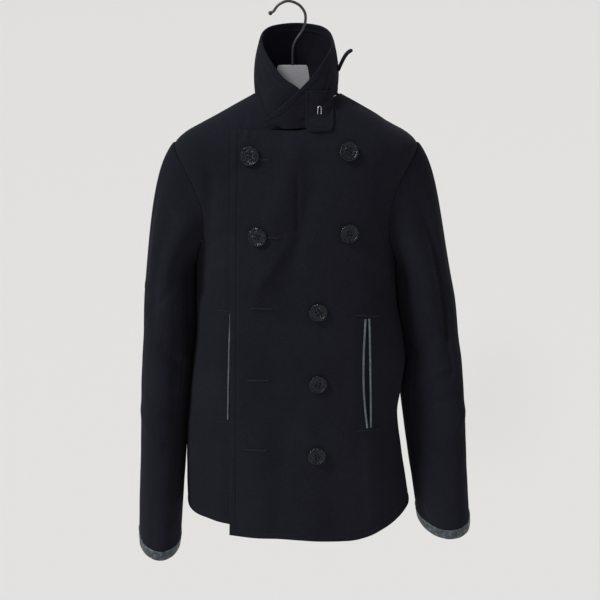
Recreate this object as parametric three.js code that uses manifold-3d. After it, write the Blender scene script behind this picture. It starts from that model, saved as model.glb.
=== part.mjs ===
import * as THREE from 'three';
import { mergeVertices } from 'three/addons/utils/BufferGeometryUtils.js';
import Module from 'manifold-3d';

// Double-breasted pea coat, buttoned at its top two rows, on a hanger with a wire hook.
// Millimetres, +Z up. The front faces -Y and +X is the wearer's left, on the viewer's right.
// The origin is the inside top of the hanger's hook, which carries the whole weight.

const DEGREE = Math.PI / 180;
const RIGHT_ANGLE = Math.PI / 2;

// Cloth and seams
const CLOTH = 2.6;
const COLLAR_CLOTH = 3.4;
const SEAM = 0.5;
const SEAT = 0.35;

// Body: the coat hangs a little to one side of the hook
const COAT_X = 12;
const SECTION_POWER = 2.5;
const NECK_Z = -131;
const FRONT_NECK_DROP = 45;
const FRONT_NECK_POWER = 8;
const BACK_NECK_DROP = 9;
const BACK_NECK_POWER = 4;
const SHOULDER_Z = -204;
const UNDERARM_Z = -380;
const ARMHOLE_SPREAD = 36 * DEGREE;

// Sections of the body: half-widths each side of the centre line, left and right as the viewer sees
// them, and depths before and behind the side seams
const BODY_SECTIONS = [
  { z: -131, left: 62, right: 62, front: 52, back: 56 },
  { z: -145, left: 88, right: 88, front: 64, back: 65 },
  { z: -160, left: 115, right: 115, front: 74, back: 73 },
  { z: -177, left: 147, right: 146, front: 82, back: 81 },
  { z: -190, left: 170, right: 169, front: 86.5, back: 84.5 },
  { z: -204, left: 184, right: 183, front: 90, back: 88 },
  { z: -220, left: 183, right: 182, front: 92.7, back: 90 },
  { z: -245, left: 178, right: 176, front: 95.5, back: 92.5 },
  { z: -300, left: 165, right: 164, front: 99, back: 95 },
  { z: -362, left: 156.5, right: 155.5, front: 100, back: 95 },
  { z: -410, left: 157.5, right: 156, front: 99.5, back: 93 },
  { z: -457, left: 158.5, right: 160, front: 98, back: 91 },
  { z: -505, left: 160.5, right: 169, front: 97, back: 90 },
  { z: -550, left: 166, right: 175.5, front: 97, back: 91 },
  { z: -600, left: 172.5, right: 171, front: 97, back: 92 },
  { z: -645, left: 178, right: 166, front: 98, back: 94 },
  { z: -702, left: 182.5, right: 173, front: 99, back: 96 },
  { z: -776, left: 184.5, right: 185, front: 100, back: 99 },
  { z: -850, left: 183, right: 196, front: 101, back: 101 },
];

// Largest folds of the body: a line from (x, z) to (x, z), its half-width and how far it stands out or in
const BODY_FOLDS = [
  { panel: 'front', x1: 0, z1: -215, x2: -46, z2: -395, spread: 24, rise: 3.2 },
  { panel: 'front', x1: 26, z1: -235, x2: -20, z2: -405, spread: 20, rise: -3.0 },
  { panel: 'front', x1: 120, z1: -255, x2: 138, z2: -420, spread: 16, rise: -3.0 },
  { panel: 'front', x1: -118, z1: -300, x2: -132, z2: -470, spread: 16, rise: -3.0 },
  { panel: 'front', x1: 60, z1: -720, x2: 70, z2: -850, spread: 30, rise: -3.2 },
  { panel: 'front', x1: 128, z1: -700, x2: 140, z2: -850, spread: 26, rise: 3.0 },
  { panel: 'front', x1: -60, z1: -700, x2: -66, z2: -850, spread: 28, rise: 2.2 },
  { panel: 'back', x1: -96, z1: -235, x2: -70, z2: -420, spread: 20, rise: -3.4 },
  { panel: 'back', x1: 92, z1: -225, x2: 64, z2: -430, spread: 22, rise: -3.4 },
  { panel: 'back', x1: -58, z1: -560, x2: -76, z2: -850, spread: 30, rise: 4.0 },
  { panel: 'back', x1: 14, z1: -600, x2: 22, z2: -850, spread: 30, rise: -4.0 },
  { panel: 'back', x1: 92, z1: -580, x2: 104, z2: -850, spread: 28, rise: 3.6 },
];

// Fronts: the wearer's left front laps over the right one
const OVERLAP_LIFT = 5;
const OVERLAP_TOP_X = 92;
const OVERLAP_HEM_X = 107;
const OVERLAP_HEM_Z = -830;
const UNDERLAP_X = 98;
const UNDERLAP_TOP_DROP = 5;
const UNDERLAP_FULL_TURN = 100 * DEGREE;
const LIFT_FULL_X = 108;
const LIFT_END_X = 146;

// Hems: the height at the side seam and how far the middle hangs lower
const LEFT_HEM = [
  { turn: 0, z: -809 }, { turn: 20, z: -806 }, { turn: 32, z: -811 }, { turn: 47, z: -823 },
  { turn: 57, z: -831 }, { turn: 65, z: -834.5 }, { turn: 76, z: -833 }, { turn: 90, z: -829 },
  { turn: 105, z: -826.5 }, { turn: 125, z: -826 },
];
const RIGHT_HEM = { sideZ: -807, drop: 5, power: 4 };
const BACK_HEM = { sideZ: -812, drop: 4, power: 4 };

// Sleeves: the two hang differently, so each has its own sections from the upper arm to the cuff.
// lean turns a section so that its outer edge comes forward; the slant lowers the cuff's front.
const UPPER_ARM_Z = -410;
const CUFF_BAND = 15;
const SLEEVES = [
  {
    name: 'right', side: -1, cuffZ: -877, slantFront: 11,
    sections: [
      { z: -410, inner: -146.8, outer: -227, depth: 66, y: 2, lean: 0 },
      { z: -457, inner: -147.7, outer: -232.5, depth: 64, y: 6, lean: 0 },
      { z: -505, inner: -149.8, outer: -236, depth: 62, y: 8, lean: 0 },
      { z: -550, inner: -155.2, outer: -240, depth: 60, y: 8, lean: 0 },
      { z: -600, inner: -161.9, outer: -244, depth: 59, y: 6, lean: 0 },
      { z: -645, inner: -167.4, outer: -246.3, depth: 58.4, y: 3.5, lean: 0 },
      { z: -702, inner: -172, outer: -249, depth: 57, y: -0.5, lean: -3 },
      { z: -814, inner: -180.5, outer: -255.3, depth: 55, y: -9, lean: -9 },
      { z: -877, inner: -186, outer: -258.5, depth: 54, y: -15, lean: -12 },
    ],
    folds: [
      { turn: 62, fromZ: -250, toZ: -520, spread: 13, rise: -3.4 },
      { turn: 118, fromZ: -470, toZ: -640, spread: 14, rise: -3.0 },
      { turn: 300, fromZ: -420, toZ: -660, spread: 15, rise: -3.0 },
    ],
  },
  {
    name: 'left', side: 1, cuffZ: -836, slantFront: 15,
    sections: [
      { z: -410, inner: 169.3, outer: 257, depth: 66, y: 2, lean: 0 },
      { z: -457, inner: 173.2, outer: 266, depth: 64, y: 5, lean: 8 },
      { z: -505, inner: 182.2, outer: 272, depth: 61, y: 7, lean: 14 },
      { z: -550, inner: 188.7, outer: 279, depth: 59, y: 7, lean: 20 },
      { z: -600, inner: 184.6, outer: 284, depth: 56, y: 4, lean: 26 },
      { z: -645, inner: 188.3, outer: 287.7, depth: 54.5, y: 1, lean: 29 },
      { z: -702, inner: 196.2, outer: 292.5, depth: 53, y: -2.5, lean: 23 },
      { z: -814, inner: 213.5, outer: 302, depth: 51, y: -11, lean: 10 },
      { z: -836, inner: 216.7, outer: 305, depth: 50, y: -13.5, lean: 8 },
    ],
    folds: [
      { turn: 64, fromZ: -250, toZ: -600, spread: 13, rise: -3.8 },
      { turn: 112, fromZ: -300, toZ: -420, spread: 14, rise: -2.6 },
      { turn: 290, fromZ: -430, toZ: -690, spread: 15, rise: -3.2 },
    ],
  },
];

// Sleeve head: how it leaves the armhole, sideways and down, more so at the shoulder point than at the
// underarm, how far that carries, and how early it falls in line with the upper arm
const HEAD = {
  sideways: 0.575, sidewaysTop: 0.275, down: 0.74, downTop: 0.21,
  ease: 22, easeTop: 14, fall: 0.42, probe: 20,
};
const FOLD_FADE = 60;
const FRONT_SLEEVE_SEAM = 132 * DEGREE;
const BACK_SLEEVE_SEAM = 262 * DEGREE;
const SLEEVE_RADIUS = 50;

// Collar: the free edge all round, by the turn from the centre back, seen from above.
// Both leaves cross at the throat, the wearer's left leaf outside.
const COLLAR_EDGE = [
  { turn: -209, x: 27, y: -73, z: -140 },
  { turn: -194, x: 16, y: -73.5, z: -130 },
  { turn: -178, x: 1, y: -72, z: -117 },
  { turn: -156, x: -20, y: -64, z: -103 },
  { turn: -136, x: -38, y: -46, z: -82 },
  { turn: -115, x: -50, y: -22, z: -63 },
  { turn: -92, x: -53.5, y: 6, z: -50 },
  { turn: -68, x: -48, y: 27, z: -40 },
  { turn: -42, x: -33, y: 42, z: -34 },
  { turn: 0, x: 0, y: 50, z: -31 },
  { turn: 42, x: 33, y: 42, z: -34 },
  { turn: 68, x: 48, y: 27, z: -40 },
  { turn: 92, x: 54.5, y: 6, z: -50 },
  { turn: 115, x: 54, y: -23, z: -62 },
  { turn: 136, x: 45, y: -48, z: -75 },
  { turn: 156, x: 28, y: -68, z: -97 },
  { turn: 178, x: 3, y: -80, z: -122 },
  { turn: 194, x: -19, y: -86.5, z: -141 },
  { turn: 209, x: -43, y: -88, z: -160 },
];
const COLLAR_BULGE = 7;
const COLLAR_TIP_HEIGHT = 8;

// Foot of the collar's leaves by turn: where the outer one lifts clear of the front, where each leaves the
// neck seam to run straight to its tip, and where the outer one levels out and drops again
const LEAF = {
  baseZ: -173, lift: 5.2, liftFrom: 95, liftTo: 150, neckEnd: 176, runFrom: 150, joinFrom: 160,
  joinDepth: 190, levelTo: 178, dropFrom: 196, tip: 209,
};

// Throat tab on the outer leaf, its wire hook, and the strap end that stands out at the side
const TAB = {
  fromX: 54, toX: 14, topZ: -121, bottomZ: -176, corner: 7, cornerPower: 6,
  blend: 3, cloth: 2.4, rows: 7, columns: 7,
};
const HOOK_EYE = { x: 33.5, z: -147, width: 5, height: 11, wire: 0.8 };
const STRAP = {
  x: 59.9, y: -6, z: -91, run: 18, climb: 24, bow: -5, width: 24, cloth: 5, taper: 0.4, steps: 6,
};

// Buttons: the profile from the back round the raised rim to the face, by distance in from the edge
const BUTTON = { radius: 14.2, thickness: 4.4, face: 2.9, hole: 1.15, holeSpacing: 2.7, lift: 0.65 };
const BUTTON_PROFILE = [
  { inset: 3, height: 0 },
  { inset: 0.6, height: 1 },
  { inset: 0, height: 2.2 },
  { inset: 0.5, height: 3.8 },
  { inset: 1.3, height: 4.4 },
  { inset: 2.6, height: 3.9 },
  { inset: 3.8, height: 2.9 },
];

// Places of the buttons, in rows; x from the coat's centre line
const BUTTONS = [
  { name: 'button_1_right', x: -66, z: -211 },
  { name: 'button_2_right', x: -55.5, z: -328 },
  { name: 'button_1_left', x: 75, z: -205 },
  { name: 'button_2_left', x: 76.5, z: -324 },
  { name: 'button_3_left', x: 32.5, z: -444 },
  { name: 'button_4_left', x: 33, z: -560.5 },
  { name: 'button_5_left', x: 31.5, z: -680 },
];

// Jetted pockets: the two leather jets of each, by height; x from the coat's centre line
const JET = { width: 3, rise: 1.9, thickness: 1.3, rows: 9, columns: 3 };
const POCKET_LEFT = [
  { z: -460, near: 103, far: 108.5 },
  { z: -515, near: 101.5, far: 111 },
  { z: -570, near: 102.5, far: 113 },
  { z: -605, near: 105, far: 114 },
  { z: -640, near: 109, far: 114.5 },
];
const POCKET_RIGHT = [
  { z: -452, near: -93.5, far: -99.5 },
  { z: -540, near: -95, far: -104 },
  { z: -626, near: -100, far: -107 },
];

// Hanger: a shaped board under the shoulders and a bent wire hook
const HANGER_X = 6.5;
const HANGER = { thickness: 18, reach: 145, neckHalf: 60, endDepth: 12, rise: 50, curve: 1.6, steps: 8 };
const BLOCK_TOP_Z = -90;
const BLOCK_OUTLINE = [
  { out: 36, z: -133 },
  { out: 26, z: -121 },
  { out: 24.5, z: -104 },
  { out: 22.5, z: -92 },
  { out: 20.5, z: -90 },
];
const WIRE_RADIUS = 2;
const BORE_DEPTH = 24;
const HOOK_PATH = [
  { x: -26, z: -15 }, { x: -21.5, z: -12.5 }, { x: -14, z: -3.5 }, { x: 0, z: 2 }, { x: 15.5, z: -3 },
  { x: 24.5, z: -14 }, { x: 25.5, z: -27 }, { x: 21, z: -40 }, { x: 12.5, z: -52 }, { x: 7.6, z: -62 },
  { x: 6.5, z: -74 }, { x: 6.5, z: -90 }, { x: 6.5, z: -112 },
];
const HOOK_TIP_RADIUS = 3.2;

// Grid sizes
const HEM_ROWS = 9;
const ARMHOLE_ROWS = 9;
const SHOULDER_ROWS = 5;
const FRONT_COLUMNS = 22;
const BACK_COLUMNS = 26;
const SLEEVE_HEAD_ROWS = 5;
const SLEEVE_ROWS = 9;
const TOP_SLEEVE_COLUMNS = 14;
const UNDER_SLEEVE_COLUMNS = 8;
const COLLAR_COLUMNS = 42;
const COLLAR_ROWS = 5;
const WIRE_STEPS = 32;
const EYE_STEPS = 14;
const STEP = 0.01;
const HALVINGS = 30;

const wasm = await Module();
wasm.setup();

const melton = { color: 0x1b1c24, roughness: 0.95, metalness: 0 };
const leather = { color: 0x3a464b, roughness: 0.55, metalness: 0 };
const horn = { color: 0x1a1c20, roughness: 0.3, metalness: 0 };
const hangerGrey = { color: 0x5a5860, roughness: 0.6, metalness: 0 };
const gunmetal = { color: 0x34323a, roughness: 0.35, metalness: 0.9 };

const coat = new THREE.Group();

function addPiece(name, geometry, look) {
  const mesh = new THREE.Mesh(geometry, new THREE.MeshStandardMaterial(look));
  mesh.name = name;
  coat.add(mesh);
  return mesh;
}

const mix = (a, b, t) => a + (b - a) * t;

const smooth = (from, to, value) => THREE.MathUtils.smoothstep(value, from, to);

// Value of a column at a place in a table sorted by its key, on a smooth curve through the rows
function lookUp(table, key, place, column) {
  const ascending = table[0][key] < table[table.length - 1][key];
  const rows = ascending ? table : [...table].reverse();
  const last = rows.length - 1;
  if (place <= rows[0][key]) return rows[0][column];
  if (place >= rows[last][key]) return rows[last][column];
  let i = 0;
  while (rows[i + 1][key] < place) i += 1;
  const slope = (a, b) => (rows[b][column] - rows[a][column]) / (rows[b][key] - rows[a][key]);
  const span = rows[i + 1][key] - rows[i][key];
  const t = (place - rows[i][key]) / span;
  const startSlope = i > 0 ? slope(i - 1, i + 1) : slope(i, i + 1);
  const endSlope = i + 2 <= last ? slope(i, i + 2) : slope(i, i + 1);
  const t2 = t * t;
  const t3 = t2 * t;
  return rows[i][column] * (2 * t3 - 3 * t2 + 1) + startSlope * span * (t3 - 2 * t2 + t)
    + rows[i + 1][column] * (3 * t2 - 2 * t3) + endSlope * span * (t3 - t2);
}

// How far the folds of one panel stand out at a place on it
function bodyFold(panel, x, z) {
  let rise = 0;
  for (const fold of BODY_FOLDS) {
    if (fold.panel !== panel) continue;
    const runX = fold.x2 - fold.x1;
    const runZ = fold.z2 - fold.z1;
    const along = ((x - fold.x1) * runX + (z - fold.z1) * runZ) / (runX * runX + runZ * runZ);
    const t = THREE.MathUtils.clamp(along, 0, 1);
    const away = Math.hypot(x - fold.x1 - runX * t, z - fold.z1 - runZ * t);
    rise += fold.rise * Math.exp(-((away / fold.spread) ** 2));
  }
  return rise;
}

// A point of the body: angle 0 is the wearer's left side, a quarter turn the centre front, a half turn
// the right side. The lift moves it out from the cloth of the under layer.
function bodyPoint(angle, z, lift = 0) {
  const c = Math.cos(angle);
  const s = Math.sin(angle);
  const width = lookUp(BODY_SECTIONS, 'z', z, c > 0 ? 'right' : 'left');
  const depth = lookUp(BODY_SECTIONS, 'z', z, s > 0 ? 'front' : 'back');
  const round = (Math.abs(c) ** SECTION_POWER + Math.abs(s) ** SECTION_POWER) ** (1 / SECTION_POWER);
  const x = (width * c) / round;
  const y = (-depth * s) / round;
  const outX = (Math.sign(c) * Math.abs(c / round) ** (SECTION_POWER - 1)) / width;
  const outY = (-Math.sign(s) * Math.abs(s / round) ** (SECTION_POWER - 1)) / depth;
  const size = Math.hypot(outX, outY);
  const out = lift + bodyFold(s > 0 ? 'front' : 'back', x, z) * Math.abs(s);
  return new THREE.Vector3(COAT_X + x + (outX / size) * out, y + (outY / size) * out, z);
}

// The angle at which the front has a given x at a height
function frontAngle(x, z) {
  let low = 0;
  let high = Math.PI;
  for (let i = 0; i < HALVINGS; i += 1) {
    const middle = (low + high) / 2;
    if (bodyPoint(middle, z).x - COAT_X > x) low = middle;
    else high = middle;
  }
  return (low + high) / 2;
}

// How far the overlapping front stands out from the under layer
function overlapLift(angle, z) {
  const x = bodyPoint(angle, z).x - COAT_X;
  return OVERLAP_LIFT * (1 - smooth(LIFT_FULL_X, LIFT_END_X, x));
}

// A point of a surface with its outward normal, from its own two parameters
function sampled(surface, u, v, stepU, stepV) {
  const p = surface(u, v);
  const alongU = surface(u + stepU, v).sub(surface(u - stepU, v));
  const alongV = surface(u, v + stepV).sub(surface(u, v - stepV));
  return { p, n: alongU.cross(alongV).normalize() };
}

// Closed geometry from vertices and faces, turned so that its faces point out
function closedGeometry(points, faces) {
  let volume = 0;
  for (const [a, b, c] of faces) volume += points[a].dot(points[b].clone().cross(points[c]));
  const index = faces.flatMap(([a, b, c]) => (volume > 0 ? [a, b, c] : [a, c, b]));
  const geometry = new THREE.BufferGeometry();
  geometry.setAttribute('position', new THREE.Float32BufferAttribute(points.flatMap((p) => p.toArray()), 3));
  geometry.setIndex(index);
  return geometry;
}

// A wall of cloth from a grid of outer points with normals; facing is 1 or -1 where the normals point in.
// A ring wall closes on itself along its columns.
function clothWall(grid, thickness, facing, ring = false) {
  const rows = grid.length;
  const columns = grid[0].length;
  const outer = grid.flat().map(({ p }) => p.clone());
  const inner = grid.flat().map(({ p, n }) => p.clone().addScaledVector(n, -thickness * facing));
  const points = [...outer, ...inner];
  const count = outer.length;
  const at = (i, j) => i * columns + (j % columns);
  const faces = [];
  const quad = (a, b, c, d) => faces.push([a, b, c], [a, c, d]);
  const lastColumn = ring ? columns : columns - 1;
  for (let i = 0; i + 1 < rows; i += 1) {
    for (let j = 0; j < lastColumn; j += 1) {
      quad(at(i, j), at(i, j + 1), at(i + 1, j + 1), at(i + 1, j));
      quad(count + at(i, j), count + at(i + 1, j), count + at(i + 1, j + 1), count + at(i, j + 1));
    }
    if (!ring) {
      const low = at(i, lastColumn);
      const high = at(i + 1, lastColumn);
      quad(at(i, 0), at(i + 1, 0), count + at(i + 1, 0), count + at(i, 0));
      quad(low, count + low, count + high, high);
    }
  }
  for (let j = 0; j < lastColumn; j += 1) {
    quad(at(0, j), count + at(0, j), count + at(0, j + 1), at(0, j + 1));
    quad(at(rows - 1, j), at(rows - 1, j + 1), count + at(rows - 1, j + 1), count + at(rows - 1, j));
  }
  return closedGeometry(points, faces);
}

// Heights of the rows of a body panel at one angle, from its hem to its top. Beside the armhole, where
// inward is 0, they crowd towards its ends, and they even out further in.
function panelHeights(hemZ, topZ, inward) {
  const heights = [];
  const even = smooth(0, 0.6, inward);
  for (let i = 0; i < HEM_ROWS; i += 1) heights.push(mix(hemZ, UNDERARM_Z, i / HEM_ROWS));
  for (let i = 0; i < ARMHOLE_ROWS; i += 1) {
    const t = i / ARMHOLE_ROWS;
    heights.push(mix(armholeHeight(Math.PI * (1 - t)), mix(UNDERARM_Z, SHOULDER_Z, t), even));
  }
  for (let i = 0; i <= SHOULDER_ROWS; i += 1) heights.push(mix(SHOULDER_Z, topZ, i / SHOULDER_ROWS));
  return heights;
}

// The armhole is an oval in angle and height; its own turn is 0 at the shoulder point
function armholeHeight(turn) {
  return mix(UNDERARM_Z, SHOULDER_Z, (1 + Math.cos(turn)) / 2);
}

function armholeAngle(z) {
  const middle = (SHOULDER_Z + UNDERARM_Z) / 2;
  const half = (SHOULDER_Z - UNDERARM_Z) / 2;
  const place = (z - middle) / half;
  return Math.abs(place) < 1 ? ARMHOLE_SPREAD * Math.sqrt(1 - place * place) : 0;
}

// Half a seam's gap as an angle at a height
function seamAngle(z) {
  return SEAM / 2 / lookUp(BODY_SECTIONS, 'z', z, 'front');
}

// Panel of the body between a side and an inner edge. The side is 0 or a half turn; sign is the way
// that the angle runs from it. innerAngle, hem, top and lift are functions of the place.
function bodyPanel({ side, sign, columns, innerAngle, hem, top, lift }) {
  const sideHeights = panelHeights(hem(side), top(side), 0);
  return sideHeights.map((edgeZ, i) => {
    const start = side + sign * (armholeAngle(edgeZ) + seamAngle(edgeZ));
    return Array.from({ length: columns + 1 }, (none, j) => {
      const inward = j / columns;
      const guess = mix(start, innerAngle(edgeZ), inward);
      const z = panelHeights(hem(guess), top(guess), inward)[i];
      return sampled((a, b) => bodyPoint(a, b, lift(a, b)), mix(start, innerAngle(z), inward), z, STEP, STEP);
    });
  });
}

const frontNeck = (angle) => NECK_Z - FRONT_NECK_DROP * Math.abs(Math.sin(angle)) ** FRONT_NECK_POWER;

const backNeck = (angle) => NECK_Z - BACK_NECK_DROP * Math.abs(Math.sin(angle)) ** BACK_NECK_POWER;

const hemHeight = (hem, angle) => hem.sideZ - hem.drop * Math.abs(Math.sin(angle)) ** hem.power;

const leftHem = (angle) => lookUp(LEFT_HEM, 'turn', angle / DEGREE, 'z');

const backHem = (angle) => hemHeight(BACK_HEM, angle);

const overlapEdgeX = (z) => mix(OVERLAP_TOP_X, OVERLAP_HEM_X,
  (frontNeck(RIGHT_ANGLE) - z) / (frontNeck(RIGHT_ANGLE) - OVERLAP_HEM_Z));

// Wearer's left front, lapping over to the viewer's left
const leftFrontGrid = bodyPanel({
  side: 0,
  sign: 1,
  columns: FRONT_COLUMNS,
  innerAngle: (z) => frontAngle(-overlapEdgeX(z), Math.min(z, frontNeck(RIGHT_ANGLE))),
  hem: leftHem,
  top: (angle) => frontNeck(Math.min(angle, RIGHT_ANGLE)),
  lift: overlapLift,
});
addPiece('front_left', clothWall(leftFrontGrid, CLOTH, -1), melton);

// Wearer's right front, with its edge hidden under the left one
const rightFrontGrid = bodyPanel({
  side: Math.PI,
  sign: -1,
  columns: FRONT_COLUMNS,
  innerAngle: (z) => frontAngle(UNDERLAP_X, Math.min(z, frontNeck(RIGHT_ANGLE))),
  hem: (angle) => hemHeight(RIGHT_HEM, angle),
  top: (angle) => frontNeck(Math.max(angle, RIGHT_ANGLE))
    - UNDERLAP_TOP_DROP * (1 - smooth(RIGHT_ANGLE, UNDERLAP_FULL_TURN, angle)),
  lift: () => 0,
});
addPiece('front_right', clothWall(rightFrontGrid, CLOTH, -1), melton);

// Back, in one width from side seam to side seam
const backGrid = panelHeights(backHem(0), backNeck(0), 0).map((edgeZ, i) => {
  const start = armholeAngle(edgeZ) + seamAngle(edgeZ);
  return Array.from({ length: BACK_COLUMNS + 1 }, (none, j) => {
    const across = j / BACK_COLUMNS;
    const angle = mix(Math.PI + start, 2 * Math.PI - start, across);
    const inward = 1 - Math.abs(2 * across - 1);
    return sampled(bodyPoint, angle, panelHeights(backHem(angle), backNeck(angle), inward)[i], STEP, STEP);
  });
});
addPiece('back', clothWall(backGrid, CLOTH, -1), melton);

// A section of a sleeve at its own turn: 0 is the outer edge, a quarter turn the front
function sleeveSection(sleeve, turn, z) {
  const get = (column) => lookUp(sleeve.sections, 'z', z, column);
  const centre = (get('inner') + get('outer')) / 2;
  const half = (get('outer') - get('inner')) / 2;
  const wave = Math.sin(turn + get('lean') * DEGREE);
  let out = 1;
  for (const fold of sleeve.folds) {
    const away = THREE.MathUtils.euclideanModulo(turn / DEGREE - fold.turn + 180, 360) - 180;
    const below = 1 - smooth(fold.fromZ - FOLD_FADE, fold.fromZ, z);
    const above = smooth(fold.toZ, fold.toZ + FOLD_FADE, z);
    out += (fold.rise / get('depth')) * Math.exp(-((away / fold.spread) ** 2)) * below * above;
  }
  const down = smooth(0, 1, (UPPER_ARM_Z - z) / (UPPER_ARM_Z - sleeve.cuffZ));
  const slant = sleeve.slantFront * wave * down;
  return new THREE.Vector3(
    centre + half * Math.cos(turn) * out,
    get('y') - get('depth') * wave * out,
    z - slant,
  );
}

// A point of a sleeve: along runs from 0 at the armhole to 1 at the upper arm and 2 at the cuff
function sleevePoint(sleeve, turn, along) {
  if (along >= 1) return sleeveSection(sleeve, turn, mix(UPPER_ARM_Z, sleeve.cuffZ, along - 1));
  const z = armholeHeight(turn);
  const spread = ARMHOLE_SPREAD * Math.sin(turn);
  const root = bodyPoint(sleeve.side > 0 ? spread : Math.PI - spread, z);
  const cosine = Math.cos(turn);
  const sideways = sleeve.side * (HEAD.sideways + HEAD.sidewaysTop * cosine);
  const leave = new THREE.Vector3(sideways, 0, HEAD.downTop * cosine - HEAD.down).normalize();
  const end = sleeveSection(sleeve, turn, UPPER_ARM_Z);
  const arrive = end.clone().sub(sleeveSection(sleeve, turn, UPPER_ARM_Z - HEAD.probe)).normalize();
  root.addScaledVector(leave, SEAM);
  const curve = new THREE.CubicBezierCurve3(
    root,
    root.clone().addScaledVector(leave, HEAD.ease + HEAD.easeTop * cosine),
    end.clone().addScaledVector(arrive, root.distanceTo(end) * HEAD.fall),
    end,
  );
  return curve.getPoint(Math.max(along, 0));
}

function sleeveGrid(sleeve, alongs, fromTurn, toTurn, columns) {
  return alongs.map((along) => Array.from({ length: columns + 1 }, (none, j) => {
    const turn = mix(fromTurn, toTurn, j / columns);
    return sampled((a, b) => sleevePoint(sleeve, a, b), turn, along, STEP, STEP);
  }));
}

for (const sleeve of SLEEVES) {
  const length = UPPER_ARM_Z - sleeve.cuffZ;
  const clothEnd = 2 - CUFF_BAND / length;
  const alongs = [];
  for (let i = 0; i < SLEEVE_HEAD_ROWS; i += 1) alongs.push(i / SLEEVE_HEAD_ROWS);
  for (let i = 0; i <= SLEEVE_ROWS; i += 1) alongs.push(mix(1, clothEnd, i / SLEEVE_ROWS));
  const gap = SEAM / 2 / SLEEVE_RADIUS;
  const facing = sleeve.side;

  const topGrid = sleeveGrid(sleeve, alongs, BACK_SLEEVE_SEAM - 2 * Math.PI + gap, FRONT_SLEEVE_SEAM - gap,
    TOP_SLEEVE_COLUMNS);
  addPiece(`top_sleeve_${sleeve.name}`, clothWall(topGrid, CLOTH, facing), melton);

  const underGrid = sleeveGrid(sleeve, alongs, FRONT_SLEEVE_SEAM + gap, BACK_SLEEVE_SEAM - gap,
    UNDER_SLEEVE_COLUMNS);
  addPiece(`under_sleeve_${sleeve.name}`, clothWall(underGrid, CLOTH, facing), melton);

  const bandColumns = TOP_SLEEVE_COLUMNS + UNDER_SLEEVE_COLUMNS;
  const bandGrid = sleeveGrid(sleeve, [clothEnd + SEAM / length, 2], 0, 2 * Math.PI, bandColumns)
    .map((row) => row.slice(0, bandColumns));
  addPiece(`cuff_binding_${sleeve.name}`, clothWall(bandGrid, CLOTH, facing, true), leather);
}

// The collar's seam to the neck, at a turn from the centre back. Past the centre front the outer leaf
// runs on over the front to its tip, and the hidden one rises behind it.
function collarBase(turn) {
  const reach = Math.abs(turn);
  const outer = turn > 0;
  const neckAngle = Math.sign(turn) * Math.min(reach, LEAF.neckEnd) * DEGREE - RIGHT_ANGLE;
  const neckZ = neckAngle > -Math.PI && neckAngle < 0 ? backNeck(neckAngle) : frontNeck(neckAngle);
  const lift = outer ? LEAF.lift * smooth(LEAF.liftFrom, LEAF.liftTo, turn) : 0;
  const base = bodyPoint(neckAngle, neckZ + SEAM, lift);
  if (reach <= LEAF.runFrom) return base;
  const tip = collarEdge(turn);
  const tipZ = tip.z - COLLAR_TIP_HEIGHT;
  const runZ = outer ? mix(LEAF.baseZ, tipZ, smooth(LEAF.dropFrom, LEAF.tip, reach)) : tipZ;
  base.x = mix(base.x, tip.x, smooth(LEAF.joinFrom, LEAF.tip, reach));
  base.y = mix(base.y, tip.y, smooth(LEAF.runFrom, LEAF.joinDepth, reach));
  base.z = mix(base.z, runZ, smooth(LEAF.joinFrom, outer ? LEAF.levelTo : LEAF.tip, reach));
  return base;
}

function collarEdge(turn) {
  const get = (column) => lookUp(COLLAR_EDGE, 'turn', turn, column);
  return new THREE.Vector3(COAT_X + get('x'), get('y'), get('z'));
}

// A point of the collar: height 0 is the neck seam and 1 the free edge
function collarPoint(turn, height) {
  const base = collarBase(turn);
  const point = base.clone().lerp(collarEdge(turn), height);
  const fade = Math.cos((Math.min(Math.abs(turn), 180) * DEGREE) / 2);
  const bulge = COLLAR_BULGE * 4 * height * (1 - height) * fade;
  const out = new THREE.Vector3(base.x - COAT_X, base.y, 0).normalize();
  return point.addScaledVector(out, Math.max(bulge, 0));
}

const collarGrid = Array.from({ length: COLLAR_ROWS + 1 }, (none, i) =>
  Array.from({ length: COLLAR_COLUMNS + 1 }, (unused, j) => {
    const turn = mix(COLLAR_EDGE[0].turn, COLLAR_EDGE[COLLAR_EDGE.length - 1].turn, j / COLLAR_COLUMNS);
    return sampled(collarPoint, turn, i / COLLAR_ROWS, STEP, STEP);
  }));
addPiece('collar', clothWall(collarGrid, COLLAR_CLOTH, -1), melton);

// How far in front of the seams the outer leaf's face stands at a place
function leafDepth(x, z) {
  let low = LEAF.liftFrom;
  let high = LEAF.levelTo;
  let point = null;
  for (let i = 0; i < HALVINGS; i += 1) {
    const middle = (low + high) / 2;
    const baseZ = collarBase(middle).z;
    const height = THREE.MathUtils.clamp((z - baseZ) / (collarEdge(middle).z - baseZ), 0, 1);
    point = collarPoint(middle, height);
    if (point.x - COAT_X > x) low = middle;
    else high = middle;
  }
  return -point.y;
}

// How far forward the faces under the throat tab stand: the outer leaf above, the front below
function underTab(x, z) {
  const leaf = leafDepth(x, z);
  const front = -bodyPoint(frontAngle(x, z), z, OVERLAP_LIFT).y;
  return TAB.blend * Math.log(Math.exp(leaf / TAB.blend) + Math.exp(front / TAB.blend));
}

// The throat tab hangs from the outer leaf, over the neck seam and clear of the front
function tabPoint(x, z) {
  const depth = underTab(x, z);
  const slopeX = underTab(x + 1, z) - depth;
  const slopeZ = underTab(x, z + 1) - depth;
  return new THREE.Vector3(COAT_X + x, -depth - (2 * SEAT + TAB.cloth) * Math.hypot(1, slopeX, slopeZ), z);
}

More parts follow.
